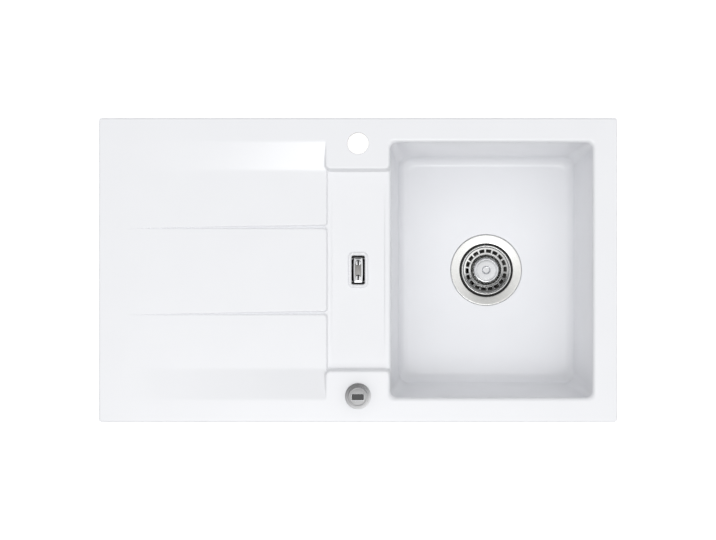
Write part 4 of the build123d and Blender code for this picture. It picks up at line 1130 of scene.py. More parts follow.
    def overflow_hole(self, shell: Shell, loops: tuple[np.ndarray, np.ndarray]) -> None:
        """Makes the overflow opening with its rounded lip, its ledges and the slot through the bridge.

        Args:
            shell: The mesh.
            loops: Grid points round the gap in the upper surface and in the underside.
        """
        edge, chamfer, ledge = self.overflow_edge, self.hole_chamfer, self.overflow_ledge
        points, below = shell.at(loops[0]), shell.at(loops[1])
        outer, inner = self.lip_margins
        lip = np.linspace(self.lip_reach + outer, edge + inner, self.lip_rings)
        rings = [self.overflow_ring(points, grow) for grow in lip]
        rings += [self.overflow_ring(points, grow, -rise) for grow, rise in rounded_edge(0.0, 0.0, edge)]
        shelf = self.overflow_ring(points, 0.0, level=ledge)
        narrow = np.array([1.0, self.overflow_slot_half / self.overflow_half[1], 1.0])
        through = (0.0, 0.0, self.bridge_under + chamfer - ledge)
        rings += [shelf + (0.0, 0.0, chamfer), shelf, shelf * narrow, shelf * narrow + through]
        slot = self.overflow_ring(below, 0.0, level=self.bridge_under) * narrow
        mouth = self.overflow_ring(below, chamfer, level=self.bridge_under) * narrow
        shell.zip_loops(
            shell.run(loops[0], rings), shell.run(loops[1], [mouth, slot + (0.0, 0.0, chamfer)]), (0.0, 0.0)
        )

    def waste_hole(self, shell: Shell, loops: tuple[np.ndarray, np.ndarray]) -> None:
        """Makes the falling floor round the waste, the flange's recess and the hole through the floor.

        Args:
            shell: The mesh.
            loops: Grid points round the gap in the upper surface and in the underside.
        """
        low, chamfer, radius = self.bowl_floor - self.fall, self.waste_chamfer, self.waste_radius
        inward = self.recess_radius - self.fall_radius
        shares = np.linspace(0.0, self.fall_share, self.fall_rings)
        upper = [(self.fall_radius + inward * share, self.bowl_floor - self.fall * share) for share in shares]
        upper += [
            *rounded_edge(self.recess_radius, low, self.recess_edge),
            (self.recess_radius, self.recess),
            (self.recess_radius - chamfer, self.recess),
            (radius + chamfer, self.recess),
            (radius, self.recess - chamfer),
            (radius, self.bowl_under + chamfer),
        ]
        lower = [
            (radius + 2 * chamfer, self.bowl_under),
            (radius + chamfer, self.bowl_under),
            (radius, self.bowl_under + chamfer),
        ]
        self.turned_hole(shell, loops, self.waste, upper, lower)

    def rim(self, shell: Shell, loops: tuple[np.ndarray, np.ndarray]) -> None:
        """Joins the upper surface and the underside along the sink's outline.

        Args:
            shell: The mesh.
            loops: Outer grid points of the upper surface and of the underside.
        """
        points = shell.at(loops[0])
        rounding = rounded_edge(0.0, self.deck, self.edge)
        outline = [(self.edge + self.rim_margin, self.deck), *rounding, *self.rim_foot]
        last = shell.run(loops[0], [self.skirt_ring(points, inset, level) for inset, level in outline])
        shell.zip_loops(last, loops[1], (0.0, 0.0))

    def mark_raw(self, piece: bpy.types.Object) -> None:
        """Marks the points of the underside, which stays unglazed.

        Args:
            piece: The body.
        """
        points = np.array([v.co for v in piece.data.vertices]) / MM
        downward = np.array([v.normal.z for v in piece.data.vertices]) < self.raw_lean
        outside = points[:, 2] < self.under_level(points[:, 0], points[:, 1]) + self.raw_margin
        seat = (points[:, 2] < self.hole_chamfer) & downward
        mark = piece.data.attributes.new("raw", "FLOAT", "POINT")
        mark.data.foreach_set("value", (outside | seat).astype(np.float32))

    def build(self) -> bpy.types.Object:
        """Makes the body's mesh with its raw mark.

        Returns:
            The object.
        """
        shell = Shell()
        sides = []
        for lines, height, patch in (
            (self.top_lines(), self.top_level, self.waste_patch),
            (self.under_lines(), self.under_level, self.under_patch),
        ):
            across, along = np.meshgrid(*lines, indexing="ij")
            if height == self.top_level:
                along = self.along_grooves(across, along)
            gaps = self.gaps(patch)
            numbers = shell.grid(lines, (across, along, height(across, along)), gaps)
            outer = (lines[0][0], lines[1][0], lines[0][-1], lines[1][-1])
            sides.append([loop_round(lines, numbers, gap) for gap in (*gaps, outer)])
        tap, control, overflow, waste, rim = zip(*sides)
        self.deck_hole(shell, tap, self.tap, self.tap_radius)
        self.deck_hole(shell, control, self.control, self.control_radius)
        self.overflow_hole(shell, overflow)
        self.waste_hole(shell, waste)
        self.rim(shell, rim)
        piece = shell.piece("sink_body_glazed")
        self.mark_raw(piece)
        LOG.info("ceramic body: %d points", len(piece.data.vertices))
        return piece


def lathe(
    name: str,
    centre: Sequence[float],
    outline: Sequence[tuple[float, float]],
    closed: bool = True,
    windows: Sequence[tuple[int, int, int, int]] = (),
) -> bpy.types.Object:
    """Turns an outline about an upright axis.

    Args:
        name: The object's name.
        centre: Plan position of the axis.
        outline: Radius and height of each point.
        closed: Whether the last point joins the first.
        windows: Openings as first row, last row, solid steps and open steps.

    Returns:
        The object.
    """
    shell = Shell()
    shell.turn((*centre, 0.0), (0.0, 0.0, 1.0), outline, closed, windows)
    return shell.piece(name)


def rounded(*corners: tuple[float, ...], closed: bool = True) -> list[tuple[float, float]]:
    """An outline with its corners rounded.

    Args:
        *corners: Radius and height of each corner, and where it is rounded the rounding's radius.
        closed: Whether the outline's first and last corners have neighbours across its ends.

    Returns:
        The outline's points.
    """
    points: list[tuple[float, float]] = []
    count = len(corners)
    for k, corner in enumerate(corners):
        at = np.array(corner[:2])
        bend = corner[2] if len(corner) > 2 else 0.0
        if not bend or (not closed and k in (0, count - 1)):
            points.append(tuple(at))
            continue
        back = np.array(corners[k - 1][:2]) - at
        ahead = np.array(corners[(k + 1) % count][:2]) - at
        back /= np.linalg.norm(back)
        ahead /= np.linalg.norm(ahead)
        half = math.acos(float(np.clip(back @ ahead, -1, 1))) / 2
        reach = bend / math.tan(half)
        middle = at + (back + ahead) / np.linalg.norm(back + ahead) * bend / math.sin(half)
        first = at + back * reach - middle
        turn = math.pi - 2 * half
        sense = math.copysign(1.0, float(back[1] * ahead[0] - back[0] * ahead[1]))
        for a in np.linspace(0, sense * turn, CORNER_STEPS + 1):
            spun = (
                first[0] * math.cos(a) - first[1] * math.sin(a),
                first[0] * math.sin(a) + first[1] * math.cos(a),
            )
            points.append((middle[0] + spun[0], middle[1] + spun[1]))
    return points


def plate_ring(
    centre: Sequence[float], half: Sequence[float], corner: float, level: float, bulge: float = 0.0
) -> np.ndarray:
    """Points round a plate's plan outline, with rounded corners and sides that may bulge.

    Args:
        centre: Plan position.
        half: Half sizes at the middle of the sides.
        corner: Corner radius.
        level: Height.
        bulge: How much wider the plate is across its middle than across its ends.

    Returns:
        The points.
    """
    points = []
    reach = (half[0] - bulge - corner, half[1] - corner)
    for turn, (across, along) in enumerate(((1, 1), (-1, 1), (-1, -1), (1, -1))):
        for a in arc(90 * turn, 90 * turn + 90, CORNER_STEPS):
            points.append((across * reach[0] + corner * math.cos(a), along * reach[1] + corner * math.sin(a)))
        if bulge and turn in (1, 3):
            for share in BULGE_SHARES * (1 if turn == 1 else -1):
                points.append((across * (half[0] - bulge * share**2), share * reach[1]))
    plan = np.array(points) + centre
    return np.column_stack([plan, np.full(len(plan), level)])


def thicken(piece: bpy.types.Object, thickness: float, levels: int) -> None:
    """Smooths a sheet and gives it its thickness.

    Args:
        piece: The sheet.
        thickness: Thickness in millimetres.
        levels: Subdivision levels.
    """
    smooth = piece.modifiers.new("pressed", "SUBSURF")
    smooth.levels = smooth.render_levels = levels
    solid = piece.modifiers.new("sheet", "SOLIDIFY")
    solid.thickness = thickness * MM
    solid.offset = 0.0


def dress(piece: bpy.types.Object, material: bpy.types.Material) -> None:
    """Gives a piece one material."""
    piece.data.materials.clear()
    piece.data.materials.append(material)


def stand_for(
    piece: bpy.types.Object, node: str, body: Body, material: bpy.types.Material
) -> None:
    """Dresses a piece, lets it ride on a body and take the place of a node.

    Args:
        piece: The new piece.
        node: The node that it stands for.
        body: The body that it rides on.
        material: Its finish.
    """
    dress(piece, material)
    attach(piece, body.value)
    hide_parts(node)
    LOG.info("%s stands for %s", piece.name, node)


def add_to(piece: bpy.types.Object, body: Body, material: bpy.types.Material) -> None:
    """Dresses a piece and lets it ride on a body, beside the body's nodes.

    Args:
        piece: The new piece.
        body: The body that it rides on.
        material: Its finish.
    """
    dress(piece, material)
    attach(piece, body.value)
    LOG.info("%s rides on %s", piece.name, body.value)


@dataclass
class Waste:
    """Steel flange and cup in the bowl floor, with the basket that lifts out of it.

    Profiles give steps of radius and height from the place that their name says, and bends the radii of the
    rounded corners, in the outline's order.
    """

    centre: tuple[float, float] = (221.25, 0.0)
    level: float = -179.5
    flange_radius: float = 62.0
    flange_turn: float = 1.0
    sheet: float = 1.2
    dish: float = 0.9
    shoulder_radius: float = 47.0
    shoulder_drop: float = 3.0
    cup_radius: float = 43.6
    cup_corner: float = 7.0
    cup_floor: float = -215.6
    flange_bends: tuple[float, float, float] = (0.5, 2.0, 2.5)
    way_radii: tuple[float, ...] = (32.8, 31.8, 25.0, 19.0, 14.0, 13.0)
    way_margin: float = 1.5
    way_steps: tuple[int, int] = (4, 20)
    clamp_bore: float = 7.2
    basket_sheet: float = 0.9
    rim_radius: float = 43.0
    rim_profile: tuple[tuple[float, float], ...] = (
        (0.0, 0.4), (0.0, 1.6), (-0.6, 2.0), (-1.6, 2.0), (-2.2, 1.4), (-2.5, 0.4), (-3.0, -1.0),
    )
    band_top: tuple[float, float] = (37.4, -1.6)
    band_foot: tuple[float, float] = (30.2, -4.6)
    band_rows: tuple[float, ...] = (0.0, 0.06, 0.14, 0.5, 0.86, 0.94, 1.0)
    window_steps: tuple[int, int] = (2, 6)
    ledge_radius: float = 26.4
    ledge_profile: tuple[tuple[float, float], ...] = (
        (3.0, -5.1), (0.7, -5.6), (0.0, -6.2), (-0.2, -7.2), (-0.6, -20.0), (-1.0, -22.6),
    )
    floor_radii: tuple[float, ...] = (23.0, 22.0, 19.4, 18.4, 12.0)
    floor_drop: float = -24.0
    drill_steps: tuple[int, int] = (3, 3)
    stem_radius: float = 6.6
    seal_bore: float = 43.3
    seal_radius: float = 45.4
    seal_neck: float = 43.9
    seal_brow: float = 44.5
    seal_foot: float = -2.8
    seal_top: float = 2.4
    seal_flare: tuple[float, float] = (0.6, 2.0)
    seal_skirt: float = 0.3
    seal_side: float = 1.0
    seal_bends: tuple[float, ...] = (0.6, 0.5, 1.0, 0.3, 0.5, 1.2)
    cap_radius: float = 21.8
    cap_top: float = -175.5
    cap_height: float = 8.0
    cap_ring: float = 17.6
    cap_ring_half: float = 0.8
    cap_ring_depth: float = 1.6
    cap_face_drop: float = 0.5
    cap_dimple: float = 7.6
    cap_dimple_wall: float = 2.2
    cap_dimple_depth: float = 1.9
    cap_dimple_bends: tuple[float, float] = (1.4, 0.5)
    cap_ring_flank: float = 0.3
    cap_ring_bends: tuple[float, float] = (0.2, 0.3)
    cap_bends: tuple[float, float] = (2.0, 0.8)

    def build(self, finishes: dict[Slot, bpy.types.Material], drawn: bpy.types.Material) -> None:
        """Builds and dresses the flange, basket, seal and cap.

        Args:
            finishes: Materials by slot.
            drawn: Painted shade of the cup below the flange, a dark grey steel finish.
        """
        flange = self.flange()
        stand_for(flange, "waste_flange", Body.SINK, finishes[Slot.STEEL])
        self.shade_cup(flange, drawn)
        stand_for(self.basket(), "basket_shell", Body.BASKET, finishes[Slot.STEEL])
        stand_for(self.seal(), "basket_seal", Body.BASKET, finishes[Slot.RUBBER])
        stand_for(self.cap(), "basket_knob", Body.BASKET, finishes[Slot.CHROME])

    def flange(self) -> bpy.types.Object:
        """Makes the pressed flange and cup with its water ways.

        Returns:
            The flange.
        """
        level = self.level - self.sheet / 2
        rim = self.flange_radius - self.sheet / 2
        wide, narrow = self.way_radii[0], self.way_radii[-1]
        edge, brow, shoulder = self.flange_bends
        outer = rounded(
            (rim, level - self.flange_turn),
            (rim, level, edge),
            (self.shoulder_radius, level - self.dish, brow),
            (self.cup_radius, level - self.dish - self.shoulder_drop, shoulder),
            (self.cup_radius, self.cup_floor, self.cup_corner),
            (wide + self.way_margin, self.cup_floor),
            closed=False,
        )
        ways = [(radius, self.cup_floor) for radius in self.way_radii]
        inner = [(narrow - self.way_margin, self.cup_floor), (self.clamp_bore, self.cup_floor)]
        first = len(outer)
        piece = lathe(
            "waste_flange_pressed",
            self.centre,
            [*outer, *ways, *inner],
            closed=False,
            windows=[(first, first + len(ways) - 1, *self.way_steps)],
        )
        thicken(piece, self.sheet, 1)
        return piece

    def shade_cup(self, piece: bpy.types.Object, material: bpy.types.Material) -> None:
        """Gives the cup below the flange's shoulder a dark grey of its own: painted shade of the recess.

        Args:
            piece: The flange with its cup.
            material: The cup's painted shade.
        """
        piece.data.materials.append(material)
        shoulder = (self.level - self.dish - self.shoulder_drop) * MM
        for face in piece.data.polygons:
            # faces below the shoulder get the dark grey of painted shade
            face.material_index = int(face.center.z < shoulder)

    def basket(self) -> bpy.types.Object:
        """Makes the pressed basket with a ring of windows in its sloping band and holes in its floor.

        Returns:
            The basket.
        """
        top, foot = np.array(self.band_top), np.array(self.band_foot)
        rim = [(self.rim_radius + out, rise) for out, rise in self.rim_profile]
        band = [tuple(top + (foot - top) * row) for row in self.band_rows]
        ledge = [(self.ledge_radius + out, rise) for out, rise in self.ledge_profile]
        floor = [(radius, self.floor_drop) for radius in (*self.floor_radii, self.stem_radius)]
        cut = len(rim) + 2
        drilled = len(rim) + len(band) + len(ledge) + 1
        piece = lathe(
            "basket_shell_pressed",
            self.centre,
            [(radius, self.level + rise) for radius, rise in (*rim, *band, *ledge, *floor)],
            closed=False,
            windows=[(cut, cut + 3, *self.window_steps), (drilled, drilled + 1, *self.drill_steps)],
        )
        thicken(piece, self.basket_sheet, 1)
        return piece

    def seal(self) -> bpy.types.Object:
        """Makes the moulded ring that closes the basket on the flange's shoulder.

        Returns:
            The seal.
        """
        level, foot = self.level, self.level + self.seal_foot
        top = level + self.seal_top
        out, up = self.seal_flare
        bore, neck, flare, skirt, side, brow = self.seal_bends
        return lathe(
            "basket_seal_moulded",
            self.centre,
            rounded(
                (self.seal_bore, top, bore),
                (self.seal_bore, foot),
                (self.seal_neck, foot, neck),
                (self.seal_neck + out, foot + up, flare),
                (self.seal_radius, level + self.seal_skirt, skirt),
                (self.seal_radius, top - self.seal_side, side),
                (self.seal_brow, top, brow),
            ),
        )

    def cap(self) -> bpy.types.Object:
        """Makes the turned cap with a ring line and a dimple.

        Returns:
            The cap.
        """
        top, foot = self.cap_top, self.cap_top - self.cap_height
        ring, half, dimple = self.cap_ring, self.cap_ring_half, self.cap_dimple
        face, socket = top - self.cap_face_drop, foot + self.cap_height / 2
        flank, (fine, crest), (edge, hem) = self.cap_ring_flank, self.cap_ring_bends, self.cap_bends
        hollow, brow = self.cap_dimple_bends
        return lathe(
            "basket_cap_turned",
            self.centre,
            rounded(
                (0.0, top - self.cap_dimple_depth),
                (dimple - self.cap_dimple_wall, top - self.cap_dimple_depth, hollow),
                (dimple, face, brow),
                (ring - half - flank, face, fine),
                (ring - half, top - self.cap_ring_depth, fine),
                (ring + half, top - self.cap_ring_depth, fine),
                (ring + half + flank, top, crest),
                (self.cap_radius, top, edge),
                (self.cap_radius, foot, hem),
                (self.stem_radius, foot),
                (self.stem_radius, socket),
                (0.0, socket),
                closed=False,
            ),
            closed=False,
        )


@dataclass
class Control:
    """Round base, turning knob and bare plaque of the rotary control.

    Bends are the radii of the rounded corners, in the outline's order.
    """

    centre: tuple[float, float] = (0.0, -209.0)
    deck: float = 12.0
    base_radius: float = 21.5
    base_height: float = 5.0
    base_wall: float = 1.8
    base_bore: float = 4.4
    base_bevel: tuple[float, float] = (2.6, 1.6)
    base_bends: tuple[float, ...] = (0.2, 0.4, 1.2, 0.3)
    gap: float = 0.4
    knob_radius: float = 16.5
    knob_height: float = 18.5
    knob_edge: float = 1.5
    knob_hem: float = 0.4
    knob_bore: float = 4.05
    knob_grip: float = 12.0
    ring_radius: float = 13.6
    ring_half: float = 0.4
    ring_depth: float = 0.7
    ring_bends: tuple[float, float] = (0.15, 0.2)
    face_drop: float = 0.3
    plaque_half: tuple[float, float] = (9.9, 4.9)
    plaque_corner: float = 0.9
    plaque_profile: tuple[tuple[float, float], ...] = (
        (0.0, -1.0), (0.0, -0.2), (-0.06, -0.06), (-0.2, 0.0), (-0.6, 0.0),
    )
    frame_profile: tuple[tuple[float, float], ...] = (
        (0.05, -0.6), (0.05, -0.1), (0.2, 0.0), (0.55, 0.0), (0.75, -0.15), (0.75, -0.6),
    )

    def build(
        self,
        finishes: dict[Slot, bpy.types.Material],
        blasted: bpy.types.Material,
        satin: bpy.types.Material,
    ) -> None:
        """Builds and dresses the base, the knob and the plaque in its frame.

        Args:
            finishes: Materials by slot.
            blasted: Finish of the base.
            satin: Turned finish of the knob.
        """
        stand_for(self.base(), "control_base", Body.SINK, blasted)
        stand_for(self.knob(), "control_knob", Body.CONTROL, satin)
        stand_for(self.plaque(), "knob_plaque", Body.CONTROL, finishes[Slot.ENAMEL])
        add_to(self.frame(), Body.CONTROL, finishes[Slot.CHROME])

    @property
    def knob_foot(self) -> float:
        """Height of the knob's foot."""
        return self.deck + self.base_height + self.gap

    @property
    def knob_top(self) -> float:
        """Height of the knob's rim."""
        return self.knob_foot + self.knob_height

    def base(self) -> bpy.types.Object:
        """Makes the turned base on the deck.

        Returns:
            The base.
        """
        top, radius, wall = self.deck + self.base_height, self.base_radius, self.base_wall
        inward, down = self.base_bevel
        inner, brow, edge, hem = self.base_bends
        return lathe(
            "control_base_turned",
            self.centre,
            rounded(
                (self.base_bore, top, inner),
                (radius - inward, top, brow),
                (radius, top - down, edge),
                (radius, self.deck, hem),
                (radius - wall, self.deck),
                (radius - wall, top - 2 * wall),
                (self.base_bore, top - 2 * wall),
            ),
        )

    def knob(self) -> bpy.types.Object:
        """Makes the turned knob with its ring line and sunk face.

        Returns:
            The knob.
        """
        top, foot = self.knob_top, self.knob_foot
        face, ring, half = top - self.face_drop, self.ring_radius, self.ring_half
        fine, crest = self.ring_bends
        return lathe(
            "control_knob_turned",
            self.centre,
            rounded(
                (0.0, face),
                (ring - half, face, fine),
                (ring - half, face - self.ring_depth, fine),
                (ring + half, face - self.ring_depth, fine),
                (ring + half, top, crest),
                (self.knob_radius, top, self.knob_edge),
                (self.knob_radius, foot, self.knob_hem),
                (self.knob_bore, foot),
                (self.knob_bore, foot + self.knob_grip),
                (0.0, foot + self.knob_grip),
                closed=False,
            ),
            closed=False,
        )

    def plaque_rings(self, profile: Sequence[tuple[float, float]]) -> list[np.ndarray]:
        """Rings round the plaque.

        Args:
            profile: How far each ring lies outside the plaque's outline and above the knob's rim.

        Returns:
            The rings.
        """
        half = np.array(self.plaque_half)
        return [
            plate_ring(self.centre, half + grow, self.plaque_corner + grow, self.knob_top + rise)
            for grow, rise in profile
        ]

    def plaque(self) -> bpy.types.Object:
        """Makes the bare plaque.

        Returns:
            The plaque.
        """
        shell = Shell()
        shell.stack(self.plaque_rings(self.plaque_profile))
        return shell.piece("knob_plaque_enamelled")

    def frame(self) -> bpy.types.Object:
        """Makes the thin bright frame round the plaque.

        Returns:
            The frame.
        """
        shell = Shell()
        loops = [shell.add(ring) for ring in self.plaque_rings(self.frame_profile)]
        for first, second in zip(loops, [*loops[1:], loops[0]]):
            shell.strip(first, second)
        return shell.piece("knob_plaque_frame")


@dataclass
class Overflow:
    """Polished plate with two slotted screws in the overflow opening.

    Profiles give how far inside the outline each ring lies and how far above the plate's top.
    """

    top: float = -2.4
    half: tuple[float, float] = (7.75, 21.0)
    corner: float = 1.4
    least_corner: float = 0.3
    bulge: float = 0.7
    thickness: float = 2.6
    edge_profile: tuple[tuple[float, float], ...] = ((0.0, -2.6), (0.0, -0.9), (0.12, -0.6), (0.5, -0.4))
    crown: float = 0.4
    crown_insets: tuple[float, ...] = (1.0, 2.0, 3.5, 5.5, 7.0)
    foot_half: tuple[float, float] = (5.0, 0.75)
    foot_corner: float = 0.5
    foot_overlap: float = 0.2
    ledge: float = -8.0
    field_half: tuple[float, float] = (5.4, 11.2)
    field_corner: float = 2.0
    field_profile: tuple[tuple[float, float], ...] = ((0.0, -0.4), (0.0, 0.02), (0.1, 0.08), (0.4, 0.12))
    screw_pitch: float = 24.4
    head_radius: float = 4.6
    head_height: float = 2.1
    head_profile: tuple[tuple[float, float], ...] = ((0.0, -0.15), (0.0, 0.15), (0.3, 0.4), (1.4, 0.55))
    shank_radius: float = 2.5
    shank_length: float = 24.0
    shank_chamfer: float = 0.8
    shank_steps: int = 48
    head_steps: int = 24
    slot_half: float = 1.35
    slot_floor: float = 0.2
    slot_corner: float = 0.5
    # the pads span the whole ledges, so their black also stands in as painted shade on them
    pad_half: tuple[float, float] = (10.8, 2.4)
    pad_corner: float = 1.2
    pad_reach: float = 21.5
    pad_profile: tuple[tuple[float, float], ...] = ((0.0, 0.0), (0.0, 0.6), (0.2, 0.8))

    def build(
        self,
        finishes: dict[Slot, bpy.types.Material],
        brushed: bpy.types.Material,
        slot_shade: bpy.types.Material,
    ) -> None:
        """Builds and dresses the plate, its field, the screws and the pads under its feet.

        Args:
            finishes: Materials by slot.
            brushed: Finish of the plate's middle field.
            slot_shade: Painted shade of the screw slots, near black.
        """
        stand_for(self.plate(), "overflow_plate", Body.SINK, finishes[Slot.CHROME])
        stand_for(self.screws(), "overflow_screws", Body.SINK, finishes[Slot.CHROME])
        add_to(self.field(), Body.SINK, brushed)
        add_to(self.slots(), Body.SINK, slot_shade)
        add_to(self.pads(), Body.SINK, finishes[Slot.RUBBER])

    def plate(self) -> bpy.types.Object:
        """Makes the crowned barrel-shaped plate and the feet at its ends.

        Returns:
            The plate.
        """
        shell = Shell()
        half, furthest = np.array(self.half), self.crown_insets[-1]
        profile = [*self.edge_profile]
        profile += [(inset, -self.crown * (1 - inset / furthest) ** 2) for inset in self.crown_insets]
        shell.stack([
            plate_ring(
                (0.0, 0.0),
                half - inset,
                max(self.corner - inset, self.least_corner),
                self.top + rise,
                self.bulge,
            )
            for inset, rise in profile
        ])
        levels = (self.ledge, self.top - self.thickness + self.foot_overlap)
        for end in (-1, 1):
            place = (0.0, end * (self.half[1] - self.foot_half[1]))
            shell.stack([plate_ring(place, self.foot_half, self.foot_corner, level) for level in levels])
        return shell.piece("overflow_plate_polished")

    def field(self) -> bpy.types.Object:
        """Makes the brushed field between the screws.

        Returns:
            The field.
        """
        shell = Shell()
        half = np.array(self.field_half)
        shell.stack([
            plate_ring((0.0, 0.0), half - inset, self.field_corner - inset, self.top + rise)
            for inset, rise in self.field_profile
        ])
        return shell.piece("overflow_plate_field")

    def screws(self) -> bpy.types.Object:
        """Makes the two countersunk screws, each head parted by its slot.

        Returns:
            The screws.
        """
        shell = Shell()
        neck, foot = self.top - self.head_height, self.top - self.shank_length
        head = [(self.head_radius - inset, self.top + rise) for inset, rise in self.head_profile]
        shank = [
            (0.0, neck),
            (self.shank_radius, neck),
            (self.shank_radius, foot + self.shank_chamfer),
            (self.shank_radius - self.shank_chamfer, foot),
            (0.0, foot),
        ]
        for middle in (-self.screw_pitch / 2, self.screw_pitch / 2):
            shell.turn((0.0, middle, 0.0), (0.0, 0.0, 1.0), shank, closed=False, steps=self.shank_steps)
            for side in (-1, 1):
                rings = []
                for radius, level in ((self.shank_radius, neck), *head):
                    reach = math.degrees(math.acos(self.slot_half / radius))
                    turn = arc(-reach, reach, self.head_steps)
                    across, along = side * radius * np.cos(turn), middle + radius * np.sin(turn)
                    rings.append(np.column_stack([across, along, np.full(len(turn), level)]))
                shell.stack(rings)
        return shell.piece("overflow_screws_slotted")

    def slots(self) -> bpy.types.Object:
        """Makes near-black blocks that fill the screws' slots almost to the top: painted shade of the slots.

        Returns:
            The blocks.
        """
        shell = Shell()
        half = (self.slot_half, self.head_radius - self.foot_overlap)
        levels = (self.top - self.head_height, self.top + self.slot_floor)
        for middle in (-self.screw_pitch / 2, self.screw_pitch / 2):
            shell.stack([plate_ring((0.0, middle), half, self.slot_corner, level) for level in levels])
        return shell.piece("overflow_screw_slot_shade")

    def pads(self) -> bpy.types.Object:
        """Makes black rubber pads under the plate's feet that cover the opening's two ledges whole: partly
        real pads, partly painted shade of the ledges.

        Returns:
            The pads.
        """
        shell = Shell()
        half = np.array(self.pad_half)
        for place in ((0.0, -self.pad_reach), (0.0, self.pad_reach)):
            shell.stack([
                plate_ring(place, half - inset, self.pad_corner, self.ledge + rise)
                for inset, rise in self.pad_profile
            ])
        return shell.piece("overflow_pads_and_ledge_shade")


@dataclass
class PipeUnions:
    """Ribbed union nuts of the overflow pipe, and the thread of the outlet.

    Each union has a mouth and a direction in which its pipe leaves; heights along the nut start at the mouth.
    The thread's runout is the angle, in radians, over which it swells at either end.
    """

    radius: float = 19.6
    grip: float = -12.0
    face: float = 7.0
    bore: float = 15.9
    lip_bore: float = 12.7
    lip_start: float = 3.0
    band: float = 2.0
    band_slope: float = 1.2
    chamfers: tuple[float, float] = (0.5, 0.8)
    rib_count: int = 24
    rib_depth: float = 1.3
    unions: tuple[tuple[tuple[float, float, float], tuple[float, float, float]], ...] = (
        ((0.0, 0.0, -68.8), (0.0, 0.0, -1.0)),
        ((0.0, 0.0, -196.0), (0.0, 0.0, 1.0)),
        ((44.0, 0.0, -240.0), (1.0, 0.0, 0.0)),
        ((141.25, 0.0, -240.0), (-1.0, 0.0, 0.0)),
    )
    outlet: tuple[float, float] = (221.25, 0.0)
    outlet_radius: float = 23.9
    thread_height: float = 1.0
    thread_root: float = -0.4
    thread_pitch: float = 3.0
    thread_flanks: tuple[float, float] = (1.2, 0.36)
    thread_span: tuple[float, float] = (-298.0, -273.0)
    thread_steps: int = 72
    thread_runout: float = 2.0

    def build(self, finishes: dict[Slot, bpy.types.Material]) -> None:
        """Builds and dresses the nuts and the thread.

        Args:
            finishes: Materials by slot.
        """
        plastic = finishes[Slot.WHITE_PLASTIC]
        stand_for(self.nuts(), "pipe_nuts", Body.SINK, plastic)
        add_to(self.thread(), Body.SINK, plastic)

    def nuts(self) -> bpy.types.Object:
        """Makes the four nuts with ribs for the fingers.

        Returns:
            The nuts.
        """
        shell = Shell()
        smooth = self.radius - self.rib_depth
        low, high = self.grip + self.band, self.face - self.band
        rear, front = self.chamfers
        outline = [
            (self.bore, self.grip),
            (smooth - rear, self.grip),
            (smooth, self.grip + rear),
            (smooth, low),
            (self.radius, low + self.band_slope),
            (self.radius, high - self.band_slope),
            (smooth, high),
            (smooth, self.face - front),
            (smooth - front, self.face),
            (self.lip_bore, self.face),
            (self.lip_bore, self.lip_start),
            (self.bore, self.lip_start),
        ]
        for centre, axis in self.unions:
            shell.turn(centre, axis, outline, ribs=(self.rib_count, self.rib_depth))
        return shell.piece("pipe_nuts_ribbed")

    def thread(self) -> bpy.types.Object:
        """Makes the outlet's screw thread as one winding ridge.

        Returns:
            The thread.
        """
        shell = Shell()
        low, high = self.thread_span
        turns = (high - low) / self.thread_pitch
        angle = np.linspace(0, turns * math.tau, int(turns * self.thread_steps))
        height = low + angle / math.tau * self.thread_pitch
        swell = np.minimum(1, np.minimum(angle, angle[-1] - angle) / self.thread_runout)
        wide, narrow = self.thread_flanks
        root, crest = self.thread_root, self.thread_height
        rails = []
        for out, rise in ((root, -wide), (crest, -narrow), (crest, narrow), (root, wide)):
            radius = self.outlet_radius + np.where(out > 0, out * swell, out)
            across, along = self.outlet[0] + radius * np.cos(angle), self.outlet[1] + radius * np.sin(angle)
            rails.append(shell.add(np.column_stack([across, along, height + rise])))
        for first, second in zip(rails, [*rails[1:], rails[0]]):
            quads = zip(first[:-1], first[1:], second[1:], second[:-1])
            shell.faces += [tuple(map(int, quad)) for quad in quads]
        shell.faces += [tuple(int(rail[end]) for rail in rails) for end in (0, -1)]
        return shell.piece("outlet_thread")


def dress_nodes(frame: dict, finishes: dict[Slot, bpy.types.Material]) -> None:
    """Gives every node of the frame the finish of its slot.

    Args:
        frame: The loaded frame.
        finishes: Materials by slot.
    """
    for part in frame["record"]["subparts"]:
        dress(frame["nodes"][part["node"]], finishes[Slot(part["material_slot"])])


